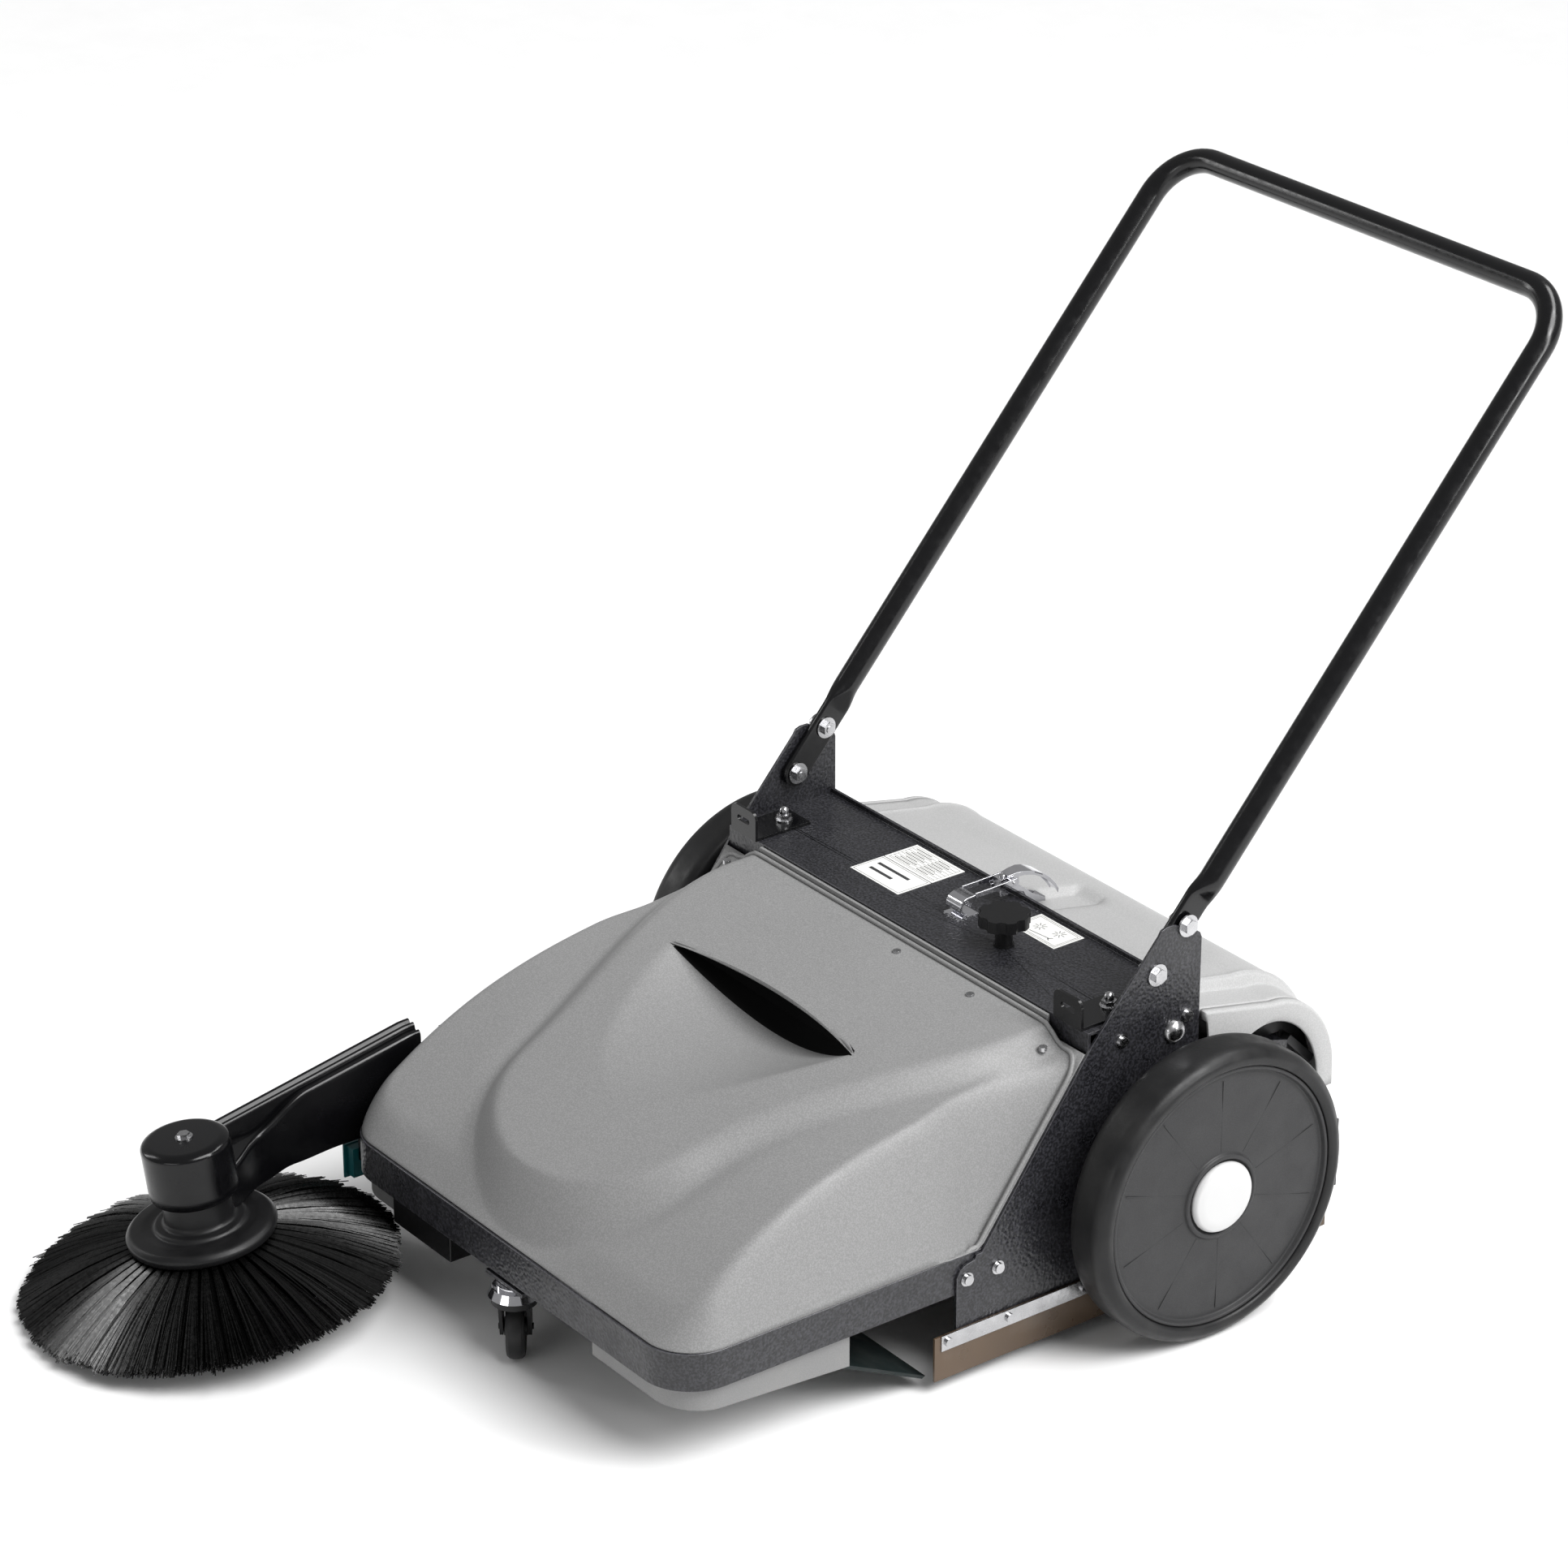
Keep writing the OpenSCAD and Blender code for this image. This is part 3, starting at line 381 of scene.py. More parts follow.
def tongue_away(x, y):
    """Distance outside the tongue's outline, in millimetres."""
    q = math.hypot(x / tongue_half(y), max(0, -440 - y) / 95)
    return (q - 1) * tongue_half(y)


def lip_y(x):
    return -248 - 18 * (x / RECESS_HALF) ** 2


def recess_depth(x, y):
    v = clamp01((lip_y(x) - y) / RECESS_LENGTH)
    c = abs(x) / (RECESS_HALF * math.sqrt(max(0.0001, 1 - v)))
    return 0 if c >= 1 else RECESS_DEPTH * (1 - v) ** 1.3 * (1 - c * c)


def edge_in(x, y):
    dx, dy = abs(x) - COVER_HALF + CORNER, COVER_FRONT + CORNER - y
    if dx > 0 and dy > 0:
        return CORNER - math.hypot(dx, dy)
    return min(COVER_HALF - abs(x), y - COVER_FRONT)


def rim_z(y):
    return COVER_BASE + max(0, y + RIM_BREAK) * RIM_SLOPE


def plan_half(y):
    d = COVER_FRONT + CORNER - y
    return COVER_HALF if d <= 0 else COVER_HALF - CORNER + math.sqrt(max(0, CORNER**2 - d * d))


def cover_z(x, y, depth):
    away = tongue_away(x, y)
    s = 1 - smooth((away + 3) / 31)
    valley = 3.2 * math.exp(-(((away - 27) / 13) ** 2)) * smooth((-300 - y) / 160)
    crown = shoulder_z(y) + (tongue_z(y) + 3 - shoulder_z(y)) * s - valley - depth
    # Beside the plates' slanted edges the body stands inside a flat flange
    flange = FLANGE * smooth((y + 275) / 60) if abs(x) > COVER_HALF - CORNER else 0
    rise = math.sqrt(max(0, 1 - (1 - clamp01((edge_in(x, y) - flange) / ROUND)) ** 2))
    return max(rim_z(y), rim_z(y) + (crown - rim_z(y)) * rise)


def front_cover():
    """The vacuum-formed cover, with a finger recess that runs in under its curved lip."""
    columns = [math.sin(math.radians(90 * (2 * i / 150 - 1))) for i in range(151)]
    front_rows, rear_rows, under = 90, 26, 26.0
    rows = []
    for j in range(front_rows + 1):
        row = []
        for u in columns:
            x_wide = COVER_HALF * u
            lip = lip_y(x_wide)
            y = COVER_FRONT + (lip - 1.5 - COVER_FRONT) * (1 - math.cos(math.radians(90 * j / front_rows)))
            x = plan_half(y) * u
            row.append((x, y, cover_z(x, y, recess_depth(x, y))))
        rows.append(row)
    # Rows that run in under the lip, back out along its underside and round its edge
    hidden = len(rows) - 1
    undercut = ((0.5, 0.97), (1.0, 0.85), (1.0, 0.4), (0.5, 0.13), (0.06, 0.10), (0.0, 0.05))
    for k, (reach, share) in enumerate(undercut):
        row = []
        for u in columns:
            x = COVER_HALF * u
            lip = lip_y(x)
            depth = recess_depth(x, lip - 0.01)
            y = lip - 1.2 + 0.2 * k + reach * under * (depth / RECESS_DEPTH) ** 0.6
            row.append((x, y, cover_z(x, min(y, lip), depth * share)))
        rows.append(row)
    for j in range(rear_rows + 1):
        row = []
        for u in columns:
            x = COVER_HALF * u
            lip = lip_y(x)
            y = lip + (COVER_REAR - lip) * (0.004 + 0.996 * j / rear_rows)
            row.append((x, y, cover_z(x, y, 0)))
        rows.append(row)
    made = Shape().grid(rows).piece("cover_shell", "hopper", "cover_grey", ["front_cover"], smooth_below=50,
                                    extra=(SHADOW,))
    across = len(columns) - 1
    # Faces that run in under the lip take the second slot, near-black painted shade in the finger recess
    for face in made.data.polygons:
        row, column = divmod(face.index, across)
        if hidden <= row < hidden + 4 and abs(COVER_HALF * columns[column]) < RECESS_HALF - 3:
            face.material_index = 1
    thicken(made, COVER_WALL)
    return made


def sweep(path, radius, ring=10):
    """Round rod along a path of points."""
    rows = []
    for k, p in enumerate(path):
        ahead = (path[min(k + 1, len(path) - 1)] - path[max(k - 1, 0)]).normalized()
        side = ahead.cross(Vector((0, 0, 1))).normalized()
        top = side.cross(ahead)
        rows.append([p + (side * math.cos(a) + top * math.sin(a)) * radius
                     for a in (2 * math.pi * i / ring for i in range(ring))])
    return Shape().loft(rows)


def cover_border():
    """Upturned border along the cover's upper side edges and its rear edge, with round corners."""
    edge, rear, corner = COVER_HALF - 2.4, COVER_REAR - 3.2, 16.0
    plan = [(edge, y) for y in spaced(-243, rear - corner, 30)]
    plan += [(edge - corner + corner * math.cos(a), rear - corner + corner * math.sin(a))
             for a in spaced(math.radians(8), math.radians(90), 9)]
    plan += [(x, rear) for x in spaced(edge - corner - 8, -(edge - corner - 8), 60)]
    plan += [(-x, y) for x, y in plan[:39][::-1]]
    path = [Vector((x, y, cover_z(x, y, 0) + 1.5 - 7 * smooth((-228 - y) / 15))) for x, y in plan]
    sweep(path, 2.3).piece("cover_border", "hopper", "cover_grey", smooth_below=60)


front_cover()
cover_border()


# ---------- Wheels ----------


def side_place(x, y, z, side):
    """Local Z points outwards from the machine along X."""
    turn = Matrix.Rotation(math.radians(90 * side), 4, "Y")
    return Matrix.Translation((x, y, z)) @ turn


def rounded(points, radius, steps=5):
    """Rounds the inner corners of an open outline."""
    out = [points[0]]
    for before, corner, after in zip(points, points[1:], points[2:]):
        b, c, a = Vector(before), Vector(corner), Vector(after)
        r = min(radius, (b - c).length * 0.45, (a - c).length * 0.45)
        p, q = c + (b - c).normalized() * r, c + (a - c).normalized() * r
        for i in range(steps + 1):
            t = i / steps
            out.append(tuple(p * (1 - t) ** 2 + c * 2 * t * (1 - t) + q * t * t))
    out.append(points[-1])
    return out


BORE_R, HUB_R = 10.2, 19.8
WHEEL_IN = tyre_box[0].x / MM - ORIGIN.x / MM
WHEEL_W = (tyre_box[1].x - tyre_box[0].x) / MM
WHEEL_R = (tyre_box[1].z - tyre_box[0].z) / 2 / MM - 0.2
DISC_R = (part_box("left_wheel_disc")[1].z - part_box("left_wheel_disc")[0].z) / 2 / MM

for side, side_name in ((1, "left"), (-1, "right")):
    body = side_name + "_wheel"
    place = side_place(side * WHEEL_IN, 0, AXLE_Z, side)
    tread = rounded([(DISC_R, 6), (DISC_R + 0.5, 2), (WHEEL_R - 10, 0.3), (WHEEL_R - 2.5, 3), (WHEEL_R, 11),
                     (WHEEL_R, WHEEL_W - 13), (WHEEL_R - 2.5, WHEEL_W - 5), (WHEEL_R - 9.5, WHEEL_W - 0.4),
                     (DISC_R + 3, WHEEL_W - 1.2), (DISC_R + 0.4, WHEEL_W - 3), (DISC_R, WHEEL_W - 9)], 4.5)
    Shape().lathe(tread, place, 160).piece("tyre_" + side_name, body, "tyre_rubber", [side_name + "_tyre"])
    disc = Shape()
    disc.lathe(rounded([(DISC_R - 0.1, 4), (DISC_R - 0.1, WHEEL_W - 4.2), (DISC_R - 3.6, WHEEL_W - 3.6),
                        (DISC_R - 5.2, WHEEL_W - 9), (DISC_R - 9, WHEEL_W - 8.6), (88, WHEEL_W - 7.6),
                        (44, WHEEL_W - 7.8), (42.5, WHEEL_W - 4.6), (38.5, WHEEL_W - 4.2), (37, WHEEL_W - 8),
                        (BORE_R, WHEEL_W - 8)], 1.4, 3), place, 160)
    disc.lathe([(BORE_R, WHEEL_W - 8), (BORE_R, -7.8), (HUB_R, -7.8), (HUB_R, 35), (DISC_R - 6, 37.5),
                (DISC_R - 6, 4), (DISC_R - 0.1, 4)], place, 120)
    for i in range(10):
        spin = place @ Matrix.Rotation(math.radians(36 * i), 4, "Z")
        inner_rib = (20, -1.5, 15), (DISC_R - 7, 1.5, 37)
        face_rib = (46, -0.5, WHEEL_W - 8), (120, 0.5, WHEEL_W - 7.57)
        for low, high in (inner_rib, face_rib):
            rib = Shape().block(low, high)
            disc.add([spin @ p for p in rib.points], rib.faces)
    disc.piece("disc_" + side_name, body, "disc_plastic", [side_name + "_wheel_disc"])
    cap = rounded([(0, WHEEL_W + 1.2), (26, WHEEL_W + 1.0), (33.5, WHEEL_W - 0.6), (35.8, WHEEL_W - 4.5),
                   (35, WHEEL_W - 8), (12.2, WHEEL_W - 8), (12.2, WHEEL_W - 3.6), (0, WHEEL_W - 3.6)], 3)
    Shape().lathe(cap, place, 96).piece("cap_" + side_name, body, "cap_plastic", [side_name + "_hub_cap"])

# ---------- Handle ----------

PIVOT_Y, PIVOT_Z, HANDLE_ANGLE, HANDLE_LEN = -19.0, 355.0, 48.6, 732.7
LEG_X, TUBE_R, BEND_R = 276.0, 12.4, 54.0
FLAT_X, FLAT_HALF, FLAT_T = 272.7, 14.9, 3.9
handle_place = Matrix.Translation((0, PIVOT_Y, PIVOT_Z)) @ Matrix.Rotation(math.radians(HANDLE_ANGLE), 4, "X")


def handle():
    """Round tube bent to a U, whose lower ends are pressed flat with a creased transition."""
    ring = 32

    def oval(centre, side_dir, wide, thick, square):
        """Section across the tube: wide along local Z, thick along side_dir."""
        out = []
        for i in range(ring):
            a = 2 * math.pi * i / ring
            c, s = math.cos(a), math.sin(a)
            power = lerp(1.0, 0.32, square)
            dx = math.copysign(abs(c) ** power, c) * thick
            dz = math.copysign(abs(s) ** power, s) * wide
            out.append(handle_place @ (centre + side_dir * dx + Vector((0, 0, dz))))
        return out

    def leg(side):
        rows = []
        for t in (-14.7, -13.6, -11.5, -8, -4, 0):
            wide = math.sqrt(max(1.0, FLAT_HALF**2 - t * t))
            rows.append(oval(Vector((side * FLAT_X, t, 0)), Vector((side, 0, 0)), wide, FLAT_T, 1))
        for t in (20, 40, 60, 73):
            rows.append(oval(Vector((side * FLAT_X, t, 0)), Vector((side, 0, 0)), FLAT_HALF, FLAT_T, 1))
        for t in (0.12, 0.3, 0.5, 0.7, 0.85, 1):
            k = smooth(t)
            rows.append(oval(Vector((side * lerp(FLAT_X, LEG_X, k), 76 + 26 * t, 0)), Vector((side, 0, 0)),
                             lerp(FLAT_HALF, TUBE_R, k), lerp(FLAT_T, TUBE_R, k**0.8), 1 - k))
        for t in (200, 350, 500, HANDLE_LEN - BEND_R - 1):
            rows.append(oval(Vector((side * LEG_X, t, 0)), Vector((side, 0, 0)), TUBE_R, TUBE_R, 0))
        for i in range(1, 15):
            a = math.radians(90 * i / 15)
            centre = Vector((side * (LEG_X - BEND_R + BEND_R * math.cos(a)),
                             HANDLE_LEN - BEND_R + BEND_R * math.sin(a), 0))
            rows.append(oval(centre, Vector((side * math.cos(a), math.sin(a), 0)), TUBE_R, TUBE_R, 0))
        return rows

    sections = leg(1)
    sections += [oval(Vector((x, HANDLE_LEN, 0)), Vector((0, 1, 0)), TUBE_R, TUBE_R, 0)
                 for x in (222, 100, 0, -100, -222)]
    sections += leg(-1)[::-1]
    Shape().loft(sections).piece("handle_bar", "handle", "gloss_black", ["handle_tube"], smooth_below=40)


handle()

# ---------- Side brush ----------

SIDE = (-270.6, -723.3, 82.0)
LEAN = math.sin(math.radians(7))
tilt_x = math.asin(0.8 * LEAN)
tilt_y = -math.asin(0.6 * LEAN / math.cos(tilt_x))
brush_place = Matrix.Translation(SIDE) @ Matrix.Rotation(tilt_y, 4, "Y") @ Matrix.Rotation(tilt_x, 4, "X")


def side_brush():
    rng = np.random.default_rng(7)
    strands = Shape()
    tufts, per_tuft, steps = 48, 56, 5
    points, faces = [], []
    trim = rng.random(tufts)
    for layer, (root_r, root_z, tip_r, tip_z, sag) in enumerate(
            ((64, -8.6, 186.5, -53.5, 5.0), (54, -10.5, 183.5, -56.0, 2.5), (44, -12.5, 178.0, -57.5, 0.0))):
        for t in range(tufts):
            middle = 2 * math.pi * (t + 0.33 * layer) / tufts
            for _ in range(per_tuft):
                spread = rng.normal(0, 0.21)
                angle = middle + spread * 2 * math.pi / tufts
                root_angle = middle + spread * 0.5 * 2 * math.pi / tufts
                length = 1 - abs(rng.normal(0, 0.034)) - 0.02 * abs(spread) - 0.03 * trim[t]
                lift = rng.normal(0, 2.2)
                thick = rng.uniform(0.5, 0.85)
                first = len(points)
                for s in range(steps + 1):
                    k = s / steps
                    a = lerp(root_angle, angle, k)
                    r = lerp(root_r, tip_r, k * length)
                    z = lerp(root_z, tip_z, k * length) + sag * math.sin(math.pi * k) + lift * k
                    z = max(-57.6, min(-8.4, z))
                    w = thick * (1 - 0.15 * k)
                    across = Vector((-math.sin(a), math.cos(a), 0)) * w
                    mid = Vector((r * math.cos(a), r * math.sin(a), z))
                    points += [mid + across, mid - across, mid + Vector((0, 0, w * 1.3))]
                for s in range(steps):
                    faces += rod_sides(first + 3 * s)
                e = first + 3 * steps
                faces.append([e, e + 1, e + 2])
    strands.add([brush_place @ p for p in points], faces)
    # A dark inner cone under the strands, which closes the view between them
    strands.lathe([(40, -15), (100, -29), (138, -42), (130, -42), (100, -32), (40, -18)], brush_place, 90)
    strands.piece("side_brush_strands", "side_brush", "bristle", ["side_bristles"], smooth_below=60)
    hub = rounded([(9.2, 8.6), (9.2, 34.8), (33, 34.8), (33.5, 12), (36, 8.6), (43, 8.2), (46, 4.6), (56, 5.6),
                   (68, 4.4), (72.9, -0.5), (71.5, -7.9), (20, -7.9), (20, 8.6), (9.2, 8.6)], 2.4, 4)
    flange = Shape().lathe(hub, brush_place, 120)
    flange.piece("side_brush_flange", "side_brush", "black_plastic", ["side_brush_hub"])


side_brush()


def main_brush():
    """Tufted rows of the main brush, as strands on their strips."""
    rng = np.random.default_rng(11)
    low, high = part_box("brush_bristles")
    axis_y = (low.y + high.y) / 2 / MM - ORIGIN.y / MM
    axis_z = (low.z + high.z) / 2 / MM
    half = (high.x - low.x) / 2 / MM
    reach = (high.z - low.z) / 2 / MM
    rows_count, tufts, per_tuft = 10, 44, 12
    points, faces = [], []
    for i in range(rows_count):
        base = math.pi / 2 + 2 * math.pi * i / rows_count
        for t in range(tufts):
            x0 = lerp(-half + 6, half - 6, t / (tufts - 1))
            for _ in range(per_tuft):
                x = x0 + rng.normal(0, 1.4)
                a = base + rng.normal(0, 0.012)
                r = reach * (1 - 0.03 * rng.random())
                out = Vector((0, math.cos(a), math.sin(a)))
                across = Vector((0, -math.sin(a), math.cos(a))) * 0.5
                x_tip = min(half - 1, max(1 - half, x0 + (x - x0) * 3.2))
                start, tip = Vector((x, axis_y, axis_z)) + out * 31.5, Vector((x_tip, axis_y, axis_z)) + out * r
                side = Vector((0.5, 0, 0))
                b = len(points)
                points += [start + across, start - across, start + side, tip + across, tip - across, tip + side]
                faces += rod_sides(b) + [[b + 3, b + 4, b + 5]]
    Shape().add(points, faces).piece("main_brush_strands", "main_brush", "bristle", ["brush_bristles"])


main_brush()

# ---------- Side brush arm and head ----------

ARM_OUT, ARM_IN, ARM_REAR, ARM_HEAD = -307.5, -281.5, -464.0, -700.0


def arm_section(y):
    """Inverted channel: two ridges on its outer side, and a lower shoulder that sweeps down to the head."""
    top = 166 + (y + 684) * 0.189 - 1.5 * smooth((y + 474) / 10)
    near_head = smooth((-592 - y) / 66)
    shoulder = top - 6 - 20 * near_head
    inner = ARM_IN + 24 * smooth((-644 - y) / 52)
    low = 108 + 10 * smooth((y + 482) / 18) - 3 * smooth((-560 - y) / 50) - 9 * smooth((-612 - y) / 40)
    o = ARM_OUT
    outline = [(o, low), (o, top - 5), (o + 0.6, top - 2), (o + 2.4, top - 0.3), (o + 4.4, top),
               (o + 6.2, top - 0.8), (o + 7.3, top - 3.2), (o + 8.6, top - 4), (o + 9.9, top - 3),
               (o + 11, top - 0.9), (o + 12.8, top - 0.2), (o + 14.6, top - 1), (o + 15.6, top - 3.4),
               (o + 16.4, shoulder - 0.6), (inner - 6.8, shoulder - 0.8), (inner - 5.6, shoulder + 0.8),
               (inner - 3.8, shoulder + 1.6), (inner - 1.8, shoulder + 0.8), (inner - 0.5, shoulder - 1.4),
               (inner, shoulder - 5), (inner, low), (inner - 3, low), (inner - 3, shoulder - 6),
               (o + 15, shoulder - 6), (o + 12.4, top - 8), (o + 3, top - 8), (o + 3, low)]
    return [(x, y, z) for x, z in outline]


def side_arm():
    stations = [ARM_REAR, ARM_REAR - 1.5, ARM_REAR - 5, ARM_REAR - 12] + spaced(-486, ARM_HEAD, 40)
    Shape().loft([arm_section(y) for y in stations]).piece("arm_channel", "side_arm", "gloss_black_plastic",
                                                           ["brush_arm"], smooth_below=48)
    head = rounded([(0, 94.9), (36, 94.9), (42.9, 91), (42.9, 44), (41.6, 36.2), (35.2, 36.2), (35.2, 89),
                    (14, 87.5), (14, 74.2), (9.2, 74.2), (9.2, 87.5), (0, 87.5)], 6.5, 6)
    cap = Shape().lathe(head, brush_place, 120)
    cap.piece("brush_head_cap", "side_arm", "gloss_black_plastic", ["brush_head"])


side_arm()

# ---------- Rear cover ----------

END_HALF, HINGE_HALF, END_WALL = 285.0, 276.0, 2.2


def dome_profile(front, top, peak, rear, low):
    points = [(front, top - 9), (front, top - 3), (front + 0.8, top - 0.9), (front + 3, top - 0.4)]
    points += [(lerp(front + 3, peak[0], t), lerp(top - 0.4, peak[1], t)) for t in spaced(0.07, 1, 16)]
    points += [(peak[0] + (rear - peak[0]) * math.sin(a), 190 + (peak[1] - 190) * math.cos(a))
               for a in spaced(math.radians(4), math.radians(90), 26)]
    points += [(rear, lerp(190, low, t)) for t in (0.1, 0.235, 0.5, 0.8, 1)]
    return points


def rear_cover():
    dome = dome_profile(37, 308, (115, 293), 214, 105)
    end = dome_profile(39, 299, (125, 281), 205, 105)
    scoop_x, scoop_y, scoop_half, scoop_len = 16.0, 84.0, 25.0, 47.0

    def point(x, k, inset=0.0):
        share = smooth((abs(x) - 235) / 7)
        y, z = lerp(dome[k][0], end[k][0], share), lerp(dome[k][1], end[k][1], share)
        # A slim bead follows the dome's edge
        bead = -1.3 * math.exp(-(((abs(x) - 231) / 2.4) ** 2))
        cx, cy = abs(x - scoop_x) / scoop_half, abs(y - scoop_y) / scoop_len
        hollow = 7.5 * (1 - smooth((cx - 0.55) / 0.45)) * (1 - smooth((cy - 0.72) / 0.28)) if z > 240 else 0
        toward = Vector((120 - y, 200 - z)).normalized() * (inset + bead)
        return (x, y + toward.x, z - hollow + toward.y)

    columns = spaced(-HINGE_HALF, -246, 6) + spaced(-243, -228, 16) + spaced(-224, -14, 28)
    columns += spaced(-8, 36, 34) + spaced(46, 224, 22) + spaced(228, 243, 16) + spaced(246, HINGE_HALF, 6)
    shell = Shape().grid([[point(x, k) for k in range(len(dome))] for x in columns][::-1])
    made = shell.piece("rear_shell", "rear_cover", "rear_grey", ["rear_cover"], smooth_below=50)
    thicken(made, COVER_WALL)

    # End faces over the wheels, with an arch cut out of each
    last = max(k for k in range(len(end)) if end[k][1] >= 169)
    for side in (1, -1):
        rows = []
        corner = (HINGE_HALF - 0.5, 0), (280.5, 0), (282.4, 0.4), (283.8, 1.2), (284.7, 2.4), (END_HALF, 4)
        for x, inset in corner:
            rows.append([point(side * x, k, inset) for k in range(last + 1)])
        arch = []
        for k in range(last + 1):
            a = lerp(math.radians(190), math.radians(-10), k / last)
            arch.append((118 + 65 * math.cos(a), max(170.5, 182 + 80 * math.sin(a))))
        for share in (0.5, 0.9, 1.0):
            x = END_HALF if share < 1 else END_HALF - 1.2
            rows.append([(side * x, lerp(p[1], q[0], share), lerp(p[2], q[1], share))
                         for p, q in zip(rows[5], arch)])
        face = Shape().grid(rows if side < 0 else rows[::-1])
        made = face.piece("rear_end_left" if side > 0 else "rear_end_right", "rear_cover", "rear_grey",
                          smooth_below=50)
        thicken(made, END_WALL)


rear_cover()

# ---------- Latch ----------

LATCH_X, LATCH_Y, LATCH_Z = 14.0, 12.0, 330.0


def strap(path, widths, thick):
    """Bent strip of sheet: a path in Y and Z, its width along X at each point, and its thickness."""
    rows = []
    for k, (y, z) in enumerate(path):
        before, after = Vector(path[max(k - 1, 0)]), Vector(path[min(k + 1, len(path) - 1)])
        ahead = (after - before).normalized()
        normal = Vector((-ahead.y, ahead.x)) * thick / 2
        half = widths[k] / 2
        upper, lower = (y + normal.x, z + normal.y), (y - normal.x, z - normal.y)
        rows.append([(LATCH_X + half, *upper), (LATCH_X + half, *lower), (LATCH_X - half, *lower),
                     (LATCH_X - half, *upper)])
    return rows


def pin(shape, x0, x1, radius, y, z):
    """Adds a round pin along X with slightly broken edges."""
    length = x1 - x0
    shape.lathe([(0, 0), (radius - 0.3, 0), (radius, 0.3), (radius, length - 0.3), (radius - 0.3, length),
                 (0, length)], side_place(x0, y, z, 1), 20)


def latch():
    """Hooked bail and lever of the over-centre latch."""
    bail = Shape()
    curl = [(-36 + 9 * math.cos(a), 327.5 + 9 * math.sin(a))
            for a in spaced(math.radians(90), math.radians(204), 12)]
    path = [(-27, 337.2), (-31, 336.7)] + curl
    bail.loft(strap(path, [22] * len(path), 2.1))
    for side in (-1, 1):
        ends = [(24.5, 337), (22, 337), (-10, 337), (-27, 337)]
        rows = []
        for y, z in ends:
            tall = 3.4 if y > 0 else 2.6
            rows.append([(LATCH_X + side * 11, y, z + tall), (LATCH_X + side * 11, y, z - tall),
                         (LATCH_X + side * 9, y, z - tall), (LATCH_X + side * 9, y, z + tall)])
        bail.loft(rows)
    bail.piece("bail_hook", "latch_bail", "chrome", ["latch_bail"], edge=0.5)
    lever = Shape()
    lever.block((LATCH_X - 6.2, 8, 327), (LATCH_X + 6.2, 30, 341.5))
    for y, z in ((LATCH_Y, LATCH_Z), (LATCH_Y + 8, LATCH_Z + 7)):
        pin(lever, LATCH_X - (12 if y > LATCH_Y else 6.4), LATCH_X + (12 if y > LATCH_Y else 6.4), 1.5, y, z)
    path = [(17, 342.4), (26, 343.6), (36, 343.4), (47, 340.4), (57, 335), (66, 328), (74, 319), (79, 311)]
    widths = [12, 14, 17, 18.5, 18.5, 17.5, 16, 14]
    lever.loft(strap(path, widths, 1.8))
    for side in (-1, 1):
        rim = [(LATCH_X + side * (w / 2 - 0.8), y, z - 1.6) for (y, z), w in zip(path, widths)]
        lever.loft([[(x + dx, y, z + dz) for dx, dz in ((0.8, 1.8), (0.8, -1.8), (-0.8, -1.8), (-0.8, 1.8))]
                    for x, y, z in rim])
    lever.piece("lever_strap", "latch_lever", "chrome", ["latch_lever"], edge=0.4)
    screw = Shape()
    pin(screw, LATCH_X + 6.2, LATCH_X + 6.6, 2.6, 26, 334)
    on_top = Matrix.Translation((LATCH_X, 14, 341.5))
    screw.lathe([(0, 0), (3.4, 0), (3.4, 1.6), (2.4, 2.4), (0, 2.6)], on_top, 24)
    screw.piece("lever_rivets", "latch_lever", "zinc")


latch()

# ---------- Inner walls of the rear cover, black as painted shade ---


def inner_walls():
    """Near-black walls, painted shade inside the rear cover's wheel arches, which close the view through them,
    each with a slanted rib.
    """
    outline = [(49, 233), (49, 279), (90, 281), (125, 274), (160, 258), (182, 234), (194, 200), (196, 124),
               (154, 124), (154, 233)]
    for side, side_name in ((1, "left"), (-1, "right")):
        wall = Shape()
        wall.loft([[(side * x, y, z) for y, z in outline] for x in (259, 261)])
        # The walls' black is painted shade inside the wheel arches
        wall.piece("arch_shade_wall_" + side_name, "rear_cover", "black_plastic", edge=0.4)
        rib = Shape()
        rows = []
        for y, z in ((158, 228), (190, 196)):
            rows.append([(side * (261 + dx), y + d, z + d) for dx, d in ((0, -3), (9, -3), (9, 3), (0, 3))])
        rib.loft(rows)
        rib.piece("inner_rib_" + side_name, "rear_cover", "disc_plastic", edge=0.4)


inner_walls()

# ---------- Labels ----------


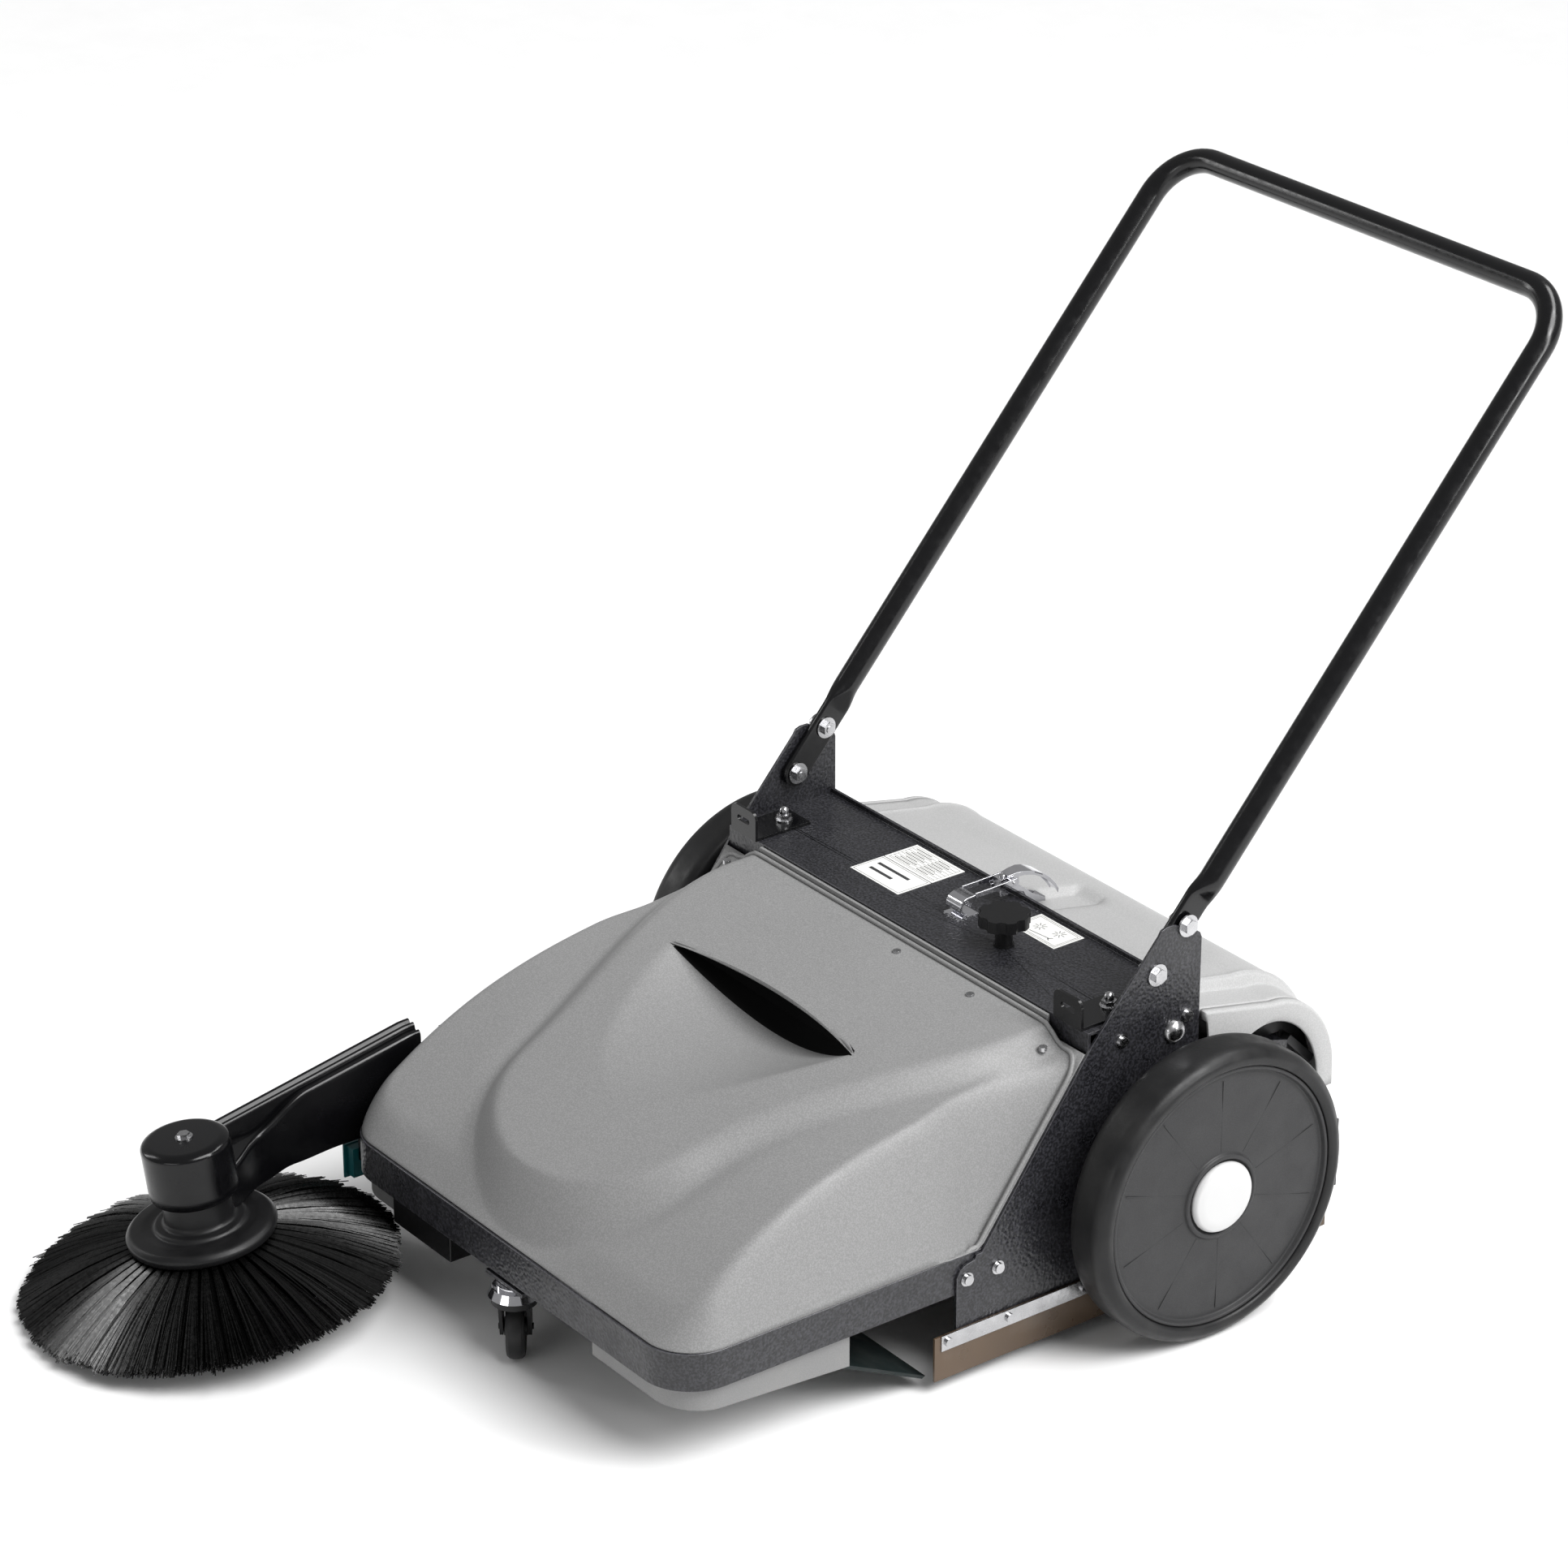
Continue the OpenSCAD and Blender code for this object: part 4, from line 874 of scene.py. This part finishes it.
def labels():
    """Generic printed marks: rules, a table, two brush signs and an arrow."""
    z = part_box("labels")[1].z / MM
    marks = Shape()

    def bar(x0, y0, x1, y1):
        marks.block((x0, y0, z - 0.05), (x1, y1, z + 0.06))

    def frame_of(x0, y0, x1, y1, w=0.5):
        bar(x0, y0, x1, y0 + w)
        bar(x0, y1 - w, x1, y1)
        bar(x0, y0, x0 + w, y1)
        bar(x1 - w, y0, x1, y1)

    def slanted(x, y, length, angle, w=0.7):
        c, s = math.cos(angle), math.sin(angle)
        corners = [(-length / 2, -w / 2), (length / 2, -w / 2), (length / 2, w / 2), (-length / 2, w / 2)]
        ring = [(x + a * c - b * s, y + a * s + b * c) for a, b in corners]
        points = [(px, py, h) for h in (z - 0.05, z + 0.06) for px, py in ring]
        marks.add(points, [[3, 2, 1, 0], [4, 5, 6, 7], [0, 1, 5, 4], [1, 2, 6, 5], [2, 3, 7, 6], [3, 0, 4, 7]])

    frame_of(-127, -58, -56, -21)
    for k, (start, end) in enumerate(((-120, -72), (-118, -84))):
        bar(start, -34 - 12 * k, end, -30 - 12 * k)
    for k in range(7):
        bar(-126, -13 + 4.6 * k, -57, -12.6 + 4.6 * k)
        bar(-122 + 3 * (k % 3), -11 + 4.6 * k, -98 + 5 * (k % 2), -10 + 4.6 * k)
        bar(-88, -11 + 4.6 * k, -70 + 4 * (k % 2), -10 + 4.6 * k)
    frame_of(-126, -15, -57, 20, 0.35)
    frame_of(64, -12, 124, 22, 0.4)
    frame_of(66, -10, 122, 20, 0.4)
    for cx, cy in ((82, 6), (106, 10)):
        for i in range(8):
            turn = i * math.pi / 4
            slanted(cx + 4.5 * math.cos(turn), cy + 4.5 * math.sin(turn), 5, turn)
    slanted(94, -5, 26, 0.12, 0.8)
    slanted(107, -5.2, 5, -0.55, 0.8)
    slanted(107.6, -2.6, 5, 0.9, 0.8)
    marks.piece("label_marks", "chassis", PRINT)


labels()

# ---------- Floor, lights, camera ----------


def stage():
    half, level = 80.0, -0.0002
    mesh = bpy.data.meshes.new("floor")
    corners = ((-half, -half), (half, -half), (half, half), (-half, half))
    mesh.from_pydata([(x, y, level) for x, y in corners], [], [[0, 1, 2, 3]])
    floor = link_new("floor", mesh)
    paper = material("floor_paper", (0.93, 0.93, 0.93), 0.8, grain=300, grain_depth=0.00002, vary=0.01,
                     specular=0.1)
    mesh.materials.append(paper)

    def area(name, place, target, width, height, power):
        lamp = bpy.data.lights.new(name, "AREA")
        lamp.shape = "RECTANGLE"
        lamp.size, lamp.size_y, lamp.energy = width, height, power
        made = link_new(name, lamp)
        made.location = place
        made.rotation_euler = (Vector(target) - Vector(place)).to_track_quat("-Z", "Y").to_euler()

    middle = (0, 0, 0.25)
    area("right_box", (2.4, 0.9, 1.9), middle, 0.5, 2.0, 34)
    area("top_box", (0.5, 1.6, 2.6), middle, 1.6, 0.7, 26)
    area("left_box", (-2.6, -1.6, 1.5), middle, 0.4, 1.6, 12)
    area("front_box", (0.6, -3.0, 1.0), middle, 1.6, 0.5, 8)
    lamp = bpy.data.lights.new("sun", "SUN")
    lamp.energy, lamp.angle = 2.8, math.radians(38)
    sun = link_new("sun", lamp)
    sun.rotation_euler = Vector((-0.72, -0.2, -1)).to_track_quat("-Z", "Y").to_euler()
    world = bpy.data.worlds.new("studio")
    bpy.context.scene.world = world
    world.use_nodes = True
    world.node_tree.nodes["Background"].inputs["Color"].default_value = (1, 1, 1, 1)
    world.node_tree.nodes["Background"].inputs["Strength"].default_value = 0.3


AZIMUTH, ELEVATION, ROLL = 53.34, 25.37, -0.2
DISTANCE, LENS_PER_WIDTH = 5.0206, 3.3554
LOOK_X, LOOK_Z = -200.3, 421.0
SHIFT_X, SHIFT_Y = 0.0071, 0.0109


def camera():
    az, el = math.radians(AZIMUTH), math.radians(ELEVATION)
    back = Vector((math.sin(az) * math.cos(el), -math.cos(az) * math.cos(el), math.sin(el)))
    right = Vector((math.cos(az), math.sin(az), 0))
    up = back.cross(right)
    target = at(0, 0, LOOK_Z) + right * LOOK_X * MM
    data = bpy.data.cameras.new("camera")
    data.sensor_width = 36
    data.lens = 36 * LENS_PER_WIDTH
    data.shift_x, data.shift_y = SHIFT_X, SHIFT_Y
    data.clip_end = 100
    made = link_new("camera", data)
    turn = Matrix((right, up, back)).transposed() @ Matrix.Rotation(math.radians(ROLL), 3, "Z")
    made.matrix_world = Matrix.Translation(target + back * DISTANCE) @ turn.to_4x4()
    bpy.context.scene.camera = made


stage()
camera()
bpy.context.scene.view_settings.view_transform = "Standard"
